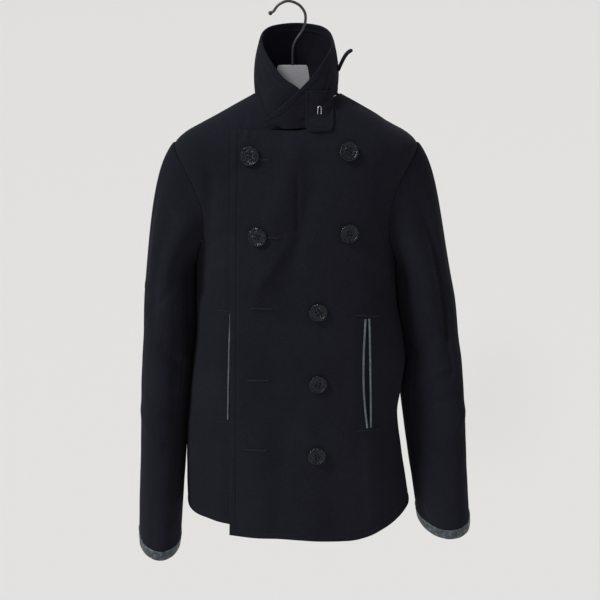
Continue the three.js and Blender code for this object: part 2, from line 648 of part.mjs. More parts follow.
const tabGrid = Array.from({ length: TAB.rows + 1 }, (none, i) =>
  Array.from({ length: TAB.columns + 1 }, (unused, j) => {
    const across = j / TAB.columns;
    const bottom = TAB.bottomZ + TAB.corner * Math.abs(2 * across - 1) ** TAB.cornerPower;
    const x = mix(TAB.fromX, TAB.toX, across);
    return sampled(tabPoint, x, mix(bottom, TAB.topZ, i / TAB.rows), STEP, STEP);
  }));
addPiece('throat_tab', clothWall(tabGrid, TAB.cloth, 1), melton);

// Turns a closed geometry into a solid for joins and cuts, and back
function toSolid(geometry) {
  geometry.deleteAttribute('normal');
  geometry.deleteAttribute('uv');
  const merged = mergeVertices(geometry, 1e-4);
  return new wasm.Manifold(new wasm.Mesh({
    numProp: 3,
    vertProperties: new Float32Array(merged.attributes.position.array),
    triVerts: new Uint32Array(merged.index.array),
  }));
}

function fromSolid(solid) {
  const mesh = solid.getMesh();
  const geometry = new THREE.BufferGeometry();
  geometry.setAttribute('position', new THREE.BufferAttribute(new Float32Array(mesh.vertProperties), 3));
  geometry.setIndex(new THREE.BufferAttribute(new Uint32Array(mesh.triVerts), 1));
  return geometry;
}

// A round wire along a path
function wireAlong(points, radius, steps, sides) {
  const section = new THREE.Shape(Array.from({ length: sides }, (none, i) => {
    const angle = (2 * Math.PI * i) / sides;
    return new THREE.Vector2(radius * Math.cos(angle), radius * Math.sin(angle));
  }));
  return new THREE.ExtrudeGeometry(section, {
    steps,
    extrudePath: new THREE.CatmullRomCurve3(points),
    bevelEnabled: false,
  });
}

// Wire hook sewn on the throat tab: an upright loop, open below
function hookEyeGeometry() {
  const { width, height, wire } = HOOK_EYE;
  const half = width / 2;
  const places = [
    { across: -half, up: -height / 2 },
    { across: -half, up: height / 4 },
    { across: 0, up: height / 2 },
    { across: half, up: height / 4 },
    { across: half, up: -height / 2 },
  ];
  const path = places.map(({ across, up }) => {
    const point = tabPoint(HOOK_EYE.x + across, HOOK_EYE.z + up);
    return point.setY(point.y - SEAT - wire);
  });
  return wireAlong(path, wire, EYE_STEPS, 6);
}
addPiece('collar_hook', hookEyeGeometry(), gunmetal);

// Strap end, a doubled strip of cloth that bows out and up from the side of the collar
function strapGeometry() {
  const upper = [];
  const lower = [];
  for (let i = 0; i <= STRAP.steps; i += 1) {
    const t = i / STRAP.steps;
    const x = STRAP.run * t;
    const z = STRAP.climb * t - STRAP.bow * Math.sin(Math.PI * t);
    const offset = (STRAP.cloth / 2) * (1 - STRAP.taper * t) * Math.SQRT1_2;
    upper.push(new THREE.Vector2(x - offset, z + offset));
    lower.unshift(new THREE.Vector2(x + offset, z - offset));
  }
  const geometry = new THREE.ExtrudeGeometry(new THREE.Shape([...lower, ...upper]), {
    depth: STRAP.width,
    bevelEnabled: false,
  });
  geometry.rotateX(RIGHT_ANGLE);
  geometry.translate(COAT_X + STRAP.x + STRAP.cloth, STRAP.y + STRAP.width / 2, STRAP.z);
  return geometry;
}
addPiece('strap_end', strapGeometry(), melton);

// A button: a dished disc with a raised rim and four thread holes
function buttonGeometry() {
  const { radius, thickness, face, hole, holeSpacing } = BUTTON;
  const profile = [
    new THREE.Vector2(0, 0),
    ...BUTTON_PROFILE.map(({ inset, height }) => new THREE.Vector2(radius - inset, height)),
    new THREE.Vector2(0, face),
  ];
  let solid = toSolid(new THREE.LatheGeometry(profile, 18));
  for (const [across, up] of [[-1, -1], [1, -1], [-1, 1], [1, 1]]) {
    const drill = new THREE.CylinderGeometry(hole, hole, 3 * thickness, 6);
    drill.translate(across * holeSpacing, 0, up * holeSpacing);
    solid = solid.subtract(toSolid(drill));
  }
  const geometry = fromSolid(solid);
  geometry.rotateX(Math.PI);
  return geometry;
}

// A button rests on the overlapping front, flat along it
const flatButton = buttonGeometry();
for (const button of BUTTONS) {
  const angle = frontAngle(button.x, button.z);
  const seat = sampled((a, b) => bodyPoint(a, b, overlapLift(a, b)), angle, button.z, STEP, STEP);
  const outward = seat.n.clone().multiplyScalar(-1);
  const mesh = addPiece(button.name, flatButton.clone(), horn);
  mesh.quaternion.setFromUnitVectors(new THREE.Vector3(0, -1, 0), outward);
  mesh.position.copy(seat.p).addScaledVector(outward, BUTTON.lift);
}

// A leather jet lies on the front along its pocket mouth
function jetGeometry(rows, column, lift) {
  const top = rows[0].z;
  const bottom = rows[rows.length - 1].z;
  const grid = Array.from({ length: JET.rows + 1 }, (none, i) => {
    const z = mix(bottom, top, i / JET.rows);
    const centre = lookUp(rows, 'z', z, column);
    return Array.from({ length: JET.columns + 1 }, (unused, j) => {
      const x = centre + JET.width * (0.5 - j / JET.columns);
      const angle = frontAngle(x, z);
      return sampled((a, b) => bodyPoint(a, b, lift(a, b) + JET.rise), angle, z, STEP, STEP);
    });
  });
  return clothWall(grid, JET.thickness, -1);
}
addPiece('jet_left_inner', jetGeometry(POCKET_LEFT, 'near', overlapLift), leather);
addPiece('jet_left_outer', jetGeometry(POCKET_LEFT, 'far', overlapLift), leather);
addPiece('jet_right_inner', jetGeometry(POCKET_RIGHT, 'near', () => 0), leather);
addPiece('jet_right_outer', jetGeometry(POCKET_RIGHT, 'far', () => 0), leather);

// Height of the shoulder line over a place beside the coat's centre line
function shoulderLine(x) {
  let low = SHOULDER_Z;
  let high = NECK_Z;
  for (let i = 0; i < HALVINGS; i += 1) {
    const middle = (low + high) / 2;
    if (lookUp(BODY_SECTIONS, 'z', middle, 'left') > Math.abs(x)) low = middle;
    else high = middle;
  }
  return (low + high) / 2;
}

// The hanger's board: arms just under the shoulder line and an upright block in the neck
function hangerGeometry() {
  const { thickness, reach, neckHalf, endDepth, rise, curve, steps } = HANGER;
  const armTop = (x) => shoulderLine(x - COAT_X) - CLOTH * 1.25 - SEAT;
  const underside = (x) => armTop(HANGER_X + reach * Math.sign(x)) - endDepth
    + rise * (1 - (Math.abs(x) / reach) ** curve);
  const outline = [];
  for (let i = 0; i <= steps; i += 1) {
    const x = mix(HANGER_X + reach, COAT_X + neckHalf, i / steps);
    outline.push([x, armTop(x)]);
  }
  for (const { out, z } of BLOCK_OUTLINE) outline.push([HANGER_X + out, z]);
  for (const { out, z } of [...BLOCK_OUTLINE].reverse()) outline.push([HANGER_X - out, z]);
  for (let i = steps; i >= 0; i -= 1) {
    const x = mix(HANGER_X - reach, COAT_X - neckHalf, i / steps);
    outline.push([x, armTop(x)]);
  }
  for (let i = 0; i <= 2 * steps; i += 1) {
    const x = mix(-reach, reach, i / (2 * steps));
    outline.push([HANGER_X + x, underside(x || 1)]);
  }
  const shape = new THREE.Shape(outline.map(([x, z]) => new THREE.Vector2(x, z)));
  const board = new THREE.ExtrudeGeometry(shape, { depth: thickness, bevelEnabled: false });
  board.rotateX(RIGHT_ANGLE);
  board.translate(0, thickness / 2, 0);
  const bore = new THREE.CylinderGeometry(WIRE_RADIUS + SEAT, WIRE_RADIUS + SEAT, 2 * BORE_DEPTH, 12);
  bore.rotateX(RIGHT_ANGLE);
  bore.translate(HANGER_X, 0, BLOCK_TOP_Z);
  return fromSolid(toSolid(board).subtract(toSolid(bore)));
}
addPiece('hanger', hangerGeometry(), hangerGrey);

// The hook: a wire from its ball tip over the top bend and down into the block
function hookGeometry() {
  const wire = wireAlong(HOOK_PATH.map(({ x, z }) => new THREE.Vector3(x, 0, z)), WIRE_RADIUS, WIRE_STEPS, 8);
  const tip = new THREE.SphereGeometry(HOOK_TIP_RADIUS, 10, 6);
  tip.translate(HOOK_PATH[0].x, 0, HOOK_PATH[0].z);
  return fromSolid(toSolid(wire).add(toSolid(tip)));
}
addPiece('hanger_hook', hookGeometry(), gunmetal);

export default coat;
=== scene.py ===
import math

import bmesh
import bpy
import numpy as np
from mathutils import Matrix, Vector


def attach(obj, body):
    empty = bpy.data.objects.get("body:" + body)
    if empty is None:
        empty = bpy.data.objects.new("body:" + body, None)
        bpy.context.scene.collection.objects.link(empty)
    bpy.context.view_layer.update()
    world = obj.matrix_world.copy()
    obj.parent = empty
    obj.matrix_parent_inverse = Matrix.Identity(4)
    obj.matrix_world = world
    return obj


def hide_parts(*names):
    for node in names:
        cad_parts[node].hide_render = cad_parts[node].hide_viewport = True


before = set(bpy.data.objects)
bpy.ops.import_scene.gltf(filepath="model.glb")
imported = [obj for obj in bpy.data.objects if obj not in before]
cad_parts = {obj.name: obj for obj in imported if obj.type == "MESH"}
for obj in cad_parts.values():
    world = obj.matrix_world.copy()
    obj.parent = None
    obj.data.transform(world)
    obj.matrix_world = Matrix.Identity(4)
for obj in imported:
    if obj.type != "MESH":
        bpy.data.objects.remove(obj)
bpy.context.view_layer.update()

# Camera. The coat is seen from in front at about the height of the hook, and the view tips down
# towards the hem. Sizes are millimetres from the hook's inside top, as in all sections below.
MM = 0.001
FRAME_PX = 600
FOCAL_PX = 1000
CAMERA_AT = (17.6, -1530, 16.8)
CAMERA_TILT = 17.2
camera_data = bpy.data.cameras.new("camera")
camera_data.sensor_width = 36
camera_data.lens = camera_data.sensor_width * FOCAL_PX / FRAME_PX
camera = bpy.data.objects.new("camera", camera_data)
camera.location = Vector(CAMERA_AT) * MM
camera.rotation_euler = (math.radians(90 - CAMERA_TILT), 0, 0)
bpy.context.scene.collection.objects.link(camera)
bpy.context.scene.camera = camera

# Room. A pale floor well below the hanging coat, a pale surround, and soft daylight: the main light
# from above, in front and left, and weaker ones from the right, from the viewer's side and from behind.
FLOOR_Z = -2.3
FLOOR_REACH = 400
FLOOR_COLOUR, FLOOR_ROUGHNESS = (0.79, 0.78, 0.765, 1), 0.9
SURROUND_COLOUR, SURROUND_STRENGTH = (0.92, 0.93, 0.95, 1), 0.3
floor_mesh = bpy.data.meshes.new("floor")
floor_mesh.from_pydata(
    [(-FLOOR_REACH, -FLOOR_REACH, FLOOR_Z), (FLOOR_REACH, -FLOOR_REACH, FLOOR_Z),
     (FLOOR_REACH, FLOOR_REACH, FLOOR_Z), (-FLOOR_REACH, FLOOR_REACH, FLOOR_Z)], [], [(0, 1, 2, 3)])
floor = bpy.data.objects.new("floor", floor_mesh)
bpy.context.scene.collection.objects.link(floor)
floor_paint = bpy.data.materials.new("floor_paint")
floor_paint.use_nodes = True
floor_shader = floor_paint.node_tree.nodes["Principled BSDF"]
floor_shader.inputs["Base Color"].default_value = FLOOR_COLOUR
floor_shader.inputs["Roughness"].default_value = FLOOR_ROUGHNESS
floor_mesh.materials.append(floor_paint)

world = bpy.data.worlds.new("surround")
world.use_nodes = True
background = world.node_tree.nodes["Background"]
background.inputs["Color"].default_value = SURROUND_COLOUR
background.inputs["Strength"].default_value = SURROUND_STRENGTH
bpy.context.scene.world = world
bpy.context.scene.view_settings.view_transform = "Standard"

SUNS = (
    # name, where its light comes from, softness in degrees, strength
    ("sun_front_left", (-1.8, -1.0, 2.1), 12, 2.45),
    ("sun_front_right", (2.2, -1.6, 1.2), 40, 0.2),
    ("sun_by_camera", (-0.45, -1.6, 0.7), 5, 0.30),
    ("sun_behind", (0.5, 1.8, 1.6), 40, 0.34),
)
for sun_name, place, softness, strength in SUNS:
    sun_data = bpy.data.lights.new(sun_name, "SUN")
    sun_data.angle = math.radians(softness)
    sun_data.energy = strength
    sun = bpy.data.objects.new(sun_name, sun_data)
    sun.location = place
    sun.rotation_euler = (-Vector(place)).to_track_quat("-Z", "Y").to_euler()
    bpy.context.scene.collection.objects.link(sun)

# Melton. A dense, milled and napped navy wool with no weave showing, matt, with a short nap that
# catches light along the folds, and a little lighter and browner where the nap is rubbed.
NAVY = (0.0080, 0.0082, 0.0132)
NAVY_DEEP = (0.0048, 0.0050, 0.0084)
NAP_LIGHT = (0.0165, 0.0167, 0.0238)


def new_finish(name):
    finish = bpy.data.materials.new(name)
    finish.use_nodes = True
    tree = finish.node_tree
    return finish, tree, tree.nodes["Principled BSDF"]


def object_noise(tree, scale, detail, roughness=0.55, stretch=(1, 1, 1)):
    place = tree.nodes.new("ShaderNodeTexCoord")
    spread = tree.nodes.new("ShaderNodeMapping")
    spread.inputs["Scale"].default_value = stretch
    noise = tree.nodes.new("ShaderNodeTexNoise")
    noise.inputs["Scale"].default_value = scale
    noise.inputs["Detail"].default_value = detail
    noise.inputs["Roughness"].default_value = roughness
    tree.links.new(place.outputs["Object"], spread.inputs["Vector"])
    tree.links.new(spread.outputs["Vector"], noise.inputs["Vector"])
    return noise.outputs["Fac"]


def ramp(tree, source, low, high, colour_low, colour_high):
    node = tree.nodes.new("ShaderNodeValToRGB")
    node.color_ramp.elements[0].position = low
    node.color_ramp.elements[1].position = high
    node.color_ramp.elements[0].color = (*colour_low, 1)
    node.color_ramp.elements[1].color = (*colour_high, 1)
    tree.links.new(source, node.inputs["Fac"])
    return node.outputs["Color"]


def blend_colours(tree, factor, first, second, kind="MIX"):
    node = tree.nodes.new("ShaderNodeMix")
    node.data_type = "RGBA"
    node.blend_type = kind
    colours = [socket for socket in node.inputs if socket.type == "RGBA"]
    if isinstance(factor, (int, float)):
        node.inputs["Factor"].default_value = factor
    else:
        tree.links.new(factor, node.inputs["Factor"])
    tree.links.new(first, colours[0])
    tree.links.new(second, colours[1])
    return [socket for socket in node.outputs if socket.type == "RGBA"][0]


def add_bump(tree, shader, heights):
    normal = None
    for height, distance, strength in heights:
        bump = tree.nodes.new("ShaderNodeBump")
        bump.inputs["Distance"].default_value = distance
        bump.inputs["Strength"].default_value = strength
        tree.links.new(height, bump.inputs["Height"])
        if normal is not None:
            tree.links.new(normal, bump.inputs["Normal"])
        normal = bump.outputs["Normal"]
    tree.links.new(normal, shader.inputs["Normal"])


def melton_finish(name, base, deep, nap):
    finish, tree, shader = new_finish(name)
    broad = object_noise(tree, 9, 3)
    mottle = object_noise(tree, 130, 4, 0.6)
    fibres = object_noise(tree, 900, 3, 0.7, (1, 1, 0.55))
    lint = object_noise(tree, 420, 2, 0.5)
    cloth = blend_colours(tree, mottle, ramp(tree, broad, 0.3, 0.75, deep, base),
                          ramp(tree, broad, 0.25, 0.7, base, nap))
    cloth = blend_colours(tree, 0.55, cloth, ramp(tree, fibres, 0.32, 0.72, deep, nap))
    specks = ramp(tree, lint, 0.735, 0.78, (0, 0, 0), (0.02, 0.021, 0.026))
    cloth = blend_colours(tree, 1.0, cloth, specks, "ADD")
    tree.links.new(cloth, shader.inputs["Base Color"])
    shader.inputs["Roughness"].default_value = 0.95
    shader.inputs["Specular IOR Level"].default_value = 0.06
    shader.inputs["Sheen Weight"].default_value = 0.035
    shader.inputs["Sheen Roughness"].default_value = 0.45
    shader.inputs["Sheen Tint"].default_value = (0.5, 0.5, 0.62, 1)
    add_bump(tree, shader, ((mottle, 0.0012, 0.35), (fibres, 0.0005, 0.5)))
    return finish


melton = melton_finish("melton_navy", NAVY, NAVY_DEEP, NAP_LIGHT)

# Cut cloth. Every panel is a wall of melton about 2.5 mm thick with turned, rounded edges. It is laid out
# as rows of points on its outer face, in the coat's millimetres, and closed behind by its thickness.
MELTON_THICK = 2.5
RIM_STEPS = 4


def unit(vectors):
    return vectors / np.maximum(np.linalg.norm(vectors, axis=-1, keepdims=True), 1e-9)


def grid_directions(outer, ring):
    if ring:
        across = np.roll(outer, -1, axis=1) - np.roll(outer, 1, axis=1)
    else:
        across = np.gradient(outer, axis=1)
    return unit(across), unit(np.gradient(outer, axis=0))


def outward(outer, ring=False, turned=1):
    across, up = grid_directions(outer, ring)
    return unit(np.cross(across, up)) * turned


def wall_of_cloth(outer, thick, rims=(1, 1, 1, 1), ring=False, turned=1):
    """Points and faces of a closed wall. rims: how far its bottom, last, top and first edge round out."""
    across, up = grid_directions(outer, ring)
    normal = outward(outer, ring, turned)
    rows, columns = outer.shape[:2]
    inner = outer - normal * thick
    number = np.arange(rows * columns).reshape(rows, columns)
    points = [outer.reshape(-1, 3), inner.reshape(-1, 3)]
    behind = rows * columns
    if ring:
        wrapped = np.concatenate([number, number[:, :1]], axis=1)
    else:
        wrapped = number
    faces = []
    a, b = wrapped[:-1, :-1].ravel(), wrapped[:-1, 1:].ravel()
    c, d = wrapped[1:, 1:].ravel(), wrapped[1:, :-1].ravel()
    faces.append(np.stack([a, b, c, d], axis=1))
    faces.append(np.stack([a, d, c, b], axis=1) + behind)
    total = 2 * behind
    bottom, last, top, first = rims
    if ring:
        loops = [(number[0], -up[0] * bottom), (number[-1, ::-1], up[-1, ::-1] * top)]
    else:
        spread = np.zeros_like(outer)
        spread[0] -= up[0] * bottom
        spread[-1] += up[-1] * top
        spread[:, 0] -= across[:, 0] * first
        spread[:, -1] += across[:, -1] * last
        order = np.concatenate([number[0, :-1], number[:-1, -1], number[-1, :0:-1], number[:0:-1, 0]])
        loops = [(order, spread.reshape(-1, 3)[order])]
    flat_normal = normal.reshape(-1, 3)
    for order, away in loops:
        middle = outer.reshape(-1, 3)[order] - flat_normal[order] * thick / 2
        ranks = [order]
        for step in range(1, RIM_STEPS):
            swing = math.pi * step / RIM_STEPS
            ring_points = middle + (flat_normal[order] * math.cos(swing) + away * math.sin(swing)) * thick / 2
            points.append(ring_points)
            ranks.append(np.arange(len(order)) + total)
            total += len(order)
        ranks.append(order + behind)
        for near, far in zip(ranks[:-1], ranks[1:]):
            faces.append(np.stack([near, far, np.roll(far, -1), np.roll(near, -1)], axis=1))
    return np.concatenate(points), np.concatenate(faces)


def make_piece(name, parts, finish):
    """A piece on the coat's body, from one or more pairs of points and faces."""
    points, faces = [], []
    for part_points, part_faces in parts:
        total = len(points)
        points += (np.asarray(part_points) * MM).tolist()
        faces += [tuple(int(corner) + total for corner in face) for face in part_faces]
    mesh = bpy.data.meshes.new(name)
    mesh.from_pydata(points, [], faces)
    work = bmesh.new()
    work.from_mesh(mesh)
    bmesh.ops.recalc_face_normals(work, faces=work.faces)
    for face in work.faces:
        face.smooth = True
    work.to_mesh(mesh)
    work.free()
    piece = bpy.data.objects.new(name, mesh)
    mesh.materials.append(finish)
    bpy.context.scene.collection.objects.link(piece)
    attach(piece, "root")
    return piece


# Body shape. The coat's trunk hangs from the shoulders as one hollow form, a little to one side of the
# hook, slim in the waist and wider at the hem. Heights run down from the hook; widths are each side of
# the coat's centre line and depths are before and behind the side seams.
COAT_X = 12
SECTION_POWER = 2.5
NECK_Z = -131
FRONT_NECK_DROP = 45
BACK_NECK_DROP = 9
SHOULDER_Z = -204
UNDERARM_Z = -380
ARMHOLE_SPREAD = math.radians(36)
HALF_TURN = math.pi
QUARTER = math.pi / 2
BODY_SECTIONS = (
    # z, left and right as the viewer sees them, front, back
    (-131, 62, 62, 52, 56),
    (-145, 88, 88, 64, 65),
    (-160, 115, 115, 74, 73),
    (-177, 147, 146, 82, 81),
    (-190, 170, 169, 86.5, 84.5),
    (-204, 184, 183, 90, 88),
    (-220, 183, 182, 92.7, 90),
    (-245, 178, 176, 95.5, 92.5),
    (-300, 165, 164, 99, 95),
    (-362, 156.5, 155.5, 100, 95),
    (-410, 157.5, 156, 99.5, 93),
    (-457, 158.5, 160, 98, 91),
    (-505, 160.5, 169, 97, 90),
    (-550, 166, 175.5, 97, 91),
    (-600, 172.5, 171, 97, 92),
    (-645, 178, 166, 98, 94),
    (-702, 182.5, 173, 99, 96),
    (-776, 184.5, 185, 100, 99),
    (-850, 183, 196, 101, 101),
)
BODY_FOLDS = {
    # x and z of its start, x and z of its end, spread, rise
    "front": (
        (0, -215, -46, -395, 24, 3.2), (26, -235, -20, -405, 20, -3.0), (120, -255, 138, -420, 16, -3.0),
        (-118, -300, -132, -470, 16, -3.0), (60, -720, 70, -850, 30, -3.2),
        (128, -700, 140, -850, 26, 3.0), (-60, -700, -66, -850, 28, 2.2),
    ),
    "back": (
        (-96, -235, -70, -420, 20, -3.4), (92, -225, 64, -430, 22, -3.4), (-58, -560, -76, -850, 30, 4.0),
        (14, -600, 22, -850, 30, -4.0), (92, -580, 104, -850, 28, 3.6),
    ),
}
SOFT_CREASES = {
    # x and z of its start, x and z of its end, spread, rise
    "front": (
        (-128, -250, -148, -430, 10, -8.5), (130, -268, 150, -400, 8, -5.5),
        (-2, -196, -34, -300, 12, 2.0), (1, -238, 2, -318, 3.2, -1.9), (-8, -330, -50, -400, 7, 2.2),
        (-52, -392, -62, -440, 8, 2), (22, -262, -4, -372, 8, -1.7), (92, -214, 142, -262, 9, -2.5),
        (96, -228, 146, -300, 8, 2), (100, -330, 150, -352, 8, -2.4), (96, -362, 150, -392, 9, 2.2),
        (108, -392, 152, -452, 9, -2.4), (-104, -330, -142, -352, 8, -2.2),
        (-100, -372, -138, -404, 9, 2), (-76, -226, -128, -276, 10, -2), (-73, -152, -79, -186, 4, -3.1),
        (-66, -150, -70, -184, 3, 2.7), (40, -182, 84, -196, 10, -1.9), (-18, -178, -58, -192, 9, -1.7),
        (84, -470, 90, -620, 9, 1.5), (132, -480, 139, -620, 10, 2), (18, -620, 34, -800, 16, 2),
        (-24, -640, -30, -820, 18, -2), (98, -660, 110, -826, 12, -2), (-120, -500, -138, -640, 14, 2),
        (-142, -660, -148, -806, 12, -2.5),
    ),
    "back": (
        (-30, -172, 34, -180, 10, -2.7), (-64, -196, -18, -206, 11, 2), (30, -204, 72, -194, 11, 1.9),
        (-118, -250, -136, -340, 10, -3.4), (118, -246, 138, -342, 10, -3.4),
        (-126, -352, -78, -392, 10, 2.7), (128, -356, 84, -384, 9, 2.7),
        (-120, -392, -66, -446, 11, -2.5), (122, -398, 74, -436, 11, -2.4),
        (-20, -420, 30, -438, 14, -2.4), (-44, -470, -8, -476, 12, 2.2), (12, -486, 62, -498, 13, 2),
        (-106, -620, -118, -806, 15, -3.1), (52, -650, 60, -806, 15, -2.5),
        (-22, -690, -26, -806, 13, 2.4), (134, -640, 150, -806, 14, -3.1),
    ),
}


def smooth_through(places, values):
    """A smooth curve through places in any order, level beyond its ends."""
    order = np.argsort(places)
    place = np.asarray(places, float)[order]
    value = np.asarray(values, float)[order]
    slope = np.empty_like(value)
    slope[1:-1] = (value[2:] - value[:-2]) / (place[2:] - place[:-2])
    slope[0] = (value[1] - value[0]) / (place[1] - place[0])
    slope[-1] = (value[-1] - value[-2]) / (place[-1] - place[-2])

    def at(where):
        held = np.clip(where, place[0], place[-1])
        i = np.clip(np.searchsorted(place, held, side="right") - 1, 0, len(place) - 2)
        span = place[i + 1] - place[i]
        t = (held - place[i]) / span
        return (value[i] * (2 * t**3 - 3 * t**2 + 1) + slope[i] * span * (t**3 - 2 * t**2 + t)
                + value[i + 1] * (3 * t**2 - 2 * t**3) + slope[i + 1] * span * (t**3 - t**2))

    return at


def columns_of(rows):
    return [list(column) for column in zip(*rows)]


def smooth_step(low, high, value):
    t = np.clip((value - low) / (high - low), 0, 1)
    return t * t * (3 - 2 * t)


section_z, *section_sizes = columns_of(BODY_SECTIONS)
body_curves = [smooth_through(section_z, sizes) for sizes in section_sizes]
left_width, right_width, front_depth, back_depth = body_curves


def crease_rise(creases, x, z):
    """How far straight soft creases stand out at each place."""
    rise = np.zeros(np.broadcast(x, z).shape)
    for x1, z1, x2, z2, spread, height in creases:
        run_x, run_z = x2 - x1, z2 - z1
        t = np.clip(((x - x1) * run_x + (z - z1) * run_z) / (run_x**2 + run_z**2), 0, 1)
        away = np.hypot(x - x1 - run_x * t, z - z1 - run_z * t)
        rise += height * np.exp(-((away / spread) ** 2))
    return rise


def uneven(x, z):
    """The slow unevenness of hanging wool, under a millimetre."""
    return (0.42 * np.sin(x / 21 + z / 47 + 0.6) * np.sin(z / 33 - x / 71)
            + 0.22 * np.sin(x / 9.5 - z / 19 + 1.9) * np.sin(z / 14.5 + x / 31))


def body_at(angle, z, lift=0.0, soft=True):
    """Points of the trunk: angle 0 is the wearer's left side, a quarter turn the front."""
    c, s = np.cos(angle), np.sin(angle)
    width = np.where(c > 0, right_width(z), left_width(z))
    depth = np.where(s > 0, front_depth(z), back_depth(z))
    round_off = (np.abs(c) ** SECTION_POWER + np.abs(s) ** SECTION_POWER) ** (1 / SECTION_POWER)
    x, y = width * c / round_off, -depth * s / round_off
    out_x = np.sign(c) * np.abs(c / round_off) ** (SECTION_POWER - 1) / width
    out_y = -np.sign(s) * np.abs(s / round_off) ** (SECTION_POWER - 1) / depth
    size = np.hypot(out_x, out_y)
    front, back = [crease_rise(BODY_FOLDS[half] + (SOFT_CREASES[half] if soft else ()), x, z)
                   for half in ("front", "back")]
    out = lift + np.where(s > 0, front, back) * np.abs(s)
    if soft:
        out = out + uneven(x, z) * smooth_step(NECK_Z, NECK_Z - 30, z)
    return np.stack([COAT_X + x + out_x / size * out, y + out_y / size * out, z + 0 * x], axis=-1)


def front_angle(x, z):
    """The angle at which the front has a given x, from the coat's centre line."""
    low, high = np.zeros(np.broadcast(x, z).shape), np.full(np.broadcast(x, z).shape, HALF_TURN)
    for _ in range(30):
        middle = (low + high) / 2
        beyond = body_at(middle, z, soft=False)[..., 0] - COAT_X > x
        low, high = np.where(beyond, middle, low), np.where(beyond, high, middle)
    return (low + high) / 2


def armhole_height(turn):
    return UNDERARM_Z + (SHOULDER_Z - UNDERARM_Z) * (1 + np.cos(turn)) / 2


def armhole_angle(z):
    place = (z - (SHOULDER_Z + UNDERARM_Z) / 2) / ((SHOULDER_Z - UNDERARM_Z) / 2)
    return ARMHOLE_SPREAD * np.sqrt(np.clip(1 - place**2, 0, 1))


def front_neck(angle):
    return NECK_Z - FRONT_NECK_DROP * np.abs(np.sin(angle)) ** 8


def back_neck(angle):
    return NECK_Z - BACK_NECK_DROP * np.sin(angle) ** 4


# Rows of a trunk panel, from its hem to its shoulder. They are close at the hem, where it is turned up
# and stitched, and follow the armhole's oval at the side.
EDGE_STEPS = np.array([0, 0.5, 1.3, 2.6, 4.2, 6, 7.6, 8.8, 9.5, 10, 10.5, 11.2, 12.4, 14.5])
SEAM_GAP = 0.4
HEM_ROWS = 74
ARMHOLE_ROWS = 38
SHOULDER_ROWS = 20
ACROSS_STEPS = 240
STITCH_IN = 10


def panel_heights(hem, top, inward):
    """Heights up the panel for one hem and top height each, and how far in from the armhole they are."""
    lower = [hem + step for step in EDGE_STEPS]
    start = hem + EDGE_STEPS[-1]
    lower += [start + (UNDERARM_Z - start) * i / HEM_ROWS for i in range(1, HEM_ROWS)]
    even = smooth_step(0, 0.6, inward)
    for i in range(ARMHOLE_ROWS):
        t = i / ARMHOLE_ROWS
        beside = armhole_height(HALF_TURN * (1 - t))
        lower.append(beside + (UNDERARM_Z + (SHOULDER_Z - UNDERARM_Z) * t - beside) * even)
    lower += [SHOULDER_Z + (top - SHOULDER_Z) * i / SHOULDER_ROWS for i in range(SHOULDER_ROWS + 1)]
    return lower


def seam_angle(z):
    return SEAM_GAP / 2 / front_depth(z)


def run_along(path):
    """The distance along a line of points to each of them."""
    return np.concatenate([[0], np.cumsum(np.linalg.norm(np.diff(path, axis=0), axis=1))])


def panel_places(side, sign, inner_angle, hem, top, columns, edge_steps):
    """Angle and height of every point of a front, with its distance from the free edge."""
    inward = np.linspace(0, 1, ACROSS_STEPS)
    count = len(panel_heights(0.0, 0.0, 0.0))
    side_heights = np.array(panel_heights(hem(side), top(side), 0.0), float)
    angles, heights, from_edge = [], [], []
    for i in range(count):
        edge_z = side_heights[i]
        start = side + sign * (armhole_angle(edge_z) + seam_angle(edge_z))
        guess = start + (inner_angle(edge_z) - start) * inward
        z = panel_heights(hem(guess), top(guess), inward)[i] + 0 * inward
        angle = start + (inner_angle(z) - start) * inward
        points = body_at(angle, z, soft=False)
        run = run_along(points)
        stop = run[-1] - (edge_steps[-1] if len(edge_steps) else 0)
        places = np.linspace(0, stop, columns)
        if len(edge_steps):
            places = np.concatenate([places[:-1], run[-1] - edge_steps[::-1]])
        angles.append(np.interp(places, run, angle))
        heights.append(np.interp(places, run, z))
        from_edge.append(run[-1] - places)
    return np.array(angles), np.array(heights), np.array(from_edge)


def turned_edge(distance):
    """A turned and topstitched edge: full up to the stitching, and drawn down along it."""
    full = 0.55 * np.sin(np.clip(distance / STITCH_IN, 0, 1) * HALF_TURN)
    return full - 0.85 * np.exp(-(((distance - STITCH_IN) / 0.9) ** 2))


# Stitching. Navy topstitching thread, machine-sewn through the turned edges. Each stitch is a short
# rounded length of thread lying on the cloth, 2.5 mm long and 3.3 mm from the next.
THREAD = (0.026, 0.028, 0.040)
STITCH_LENGTH = 2.5
STITCH_PITCH = 3.3
THREAD_RADIUS = 0.32
STITCH_SIDES = 6
STITCH_PROFILE = ((-0.5, 0.12), (-0.38, 0.8), (0, 1.0), (0.38, 0.8), (0.5, 0.12))


def thread_finish(name, colour):
    finish, tree, shader = new_finish(name)
    twist = object_noise(tree, 1600, 2)
    darker = tuple(channel * 0.6 for channel in colour)
    tree.links.new(ramp(tree, twist, 0.35, 0.65, darker, colour), shader.inputs["Base Color"])
    shader.inputs["Roughness"].default_value = 0.8
    shader.inputs["Specular IOR Level"].default_value = 0.15
    add_bump(tree, shader, ((twist, 0.0003, 0.4),))
    return finish


navy_thread = thread_finish("navy_thread", THREAD)


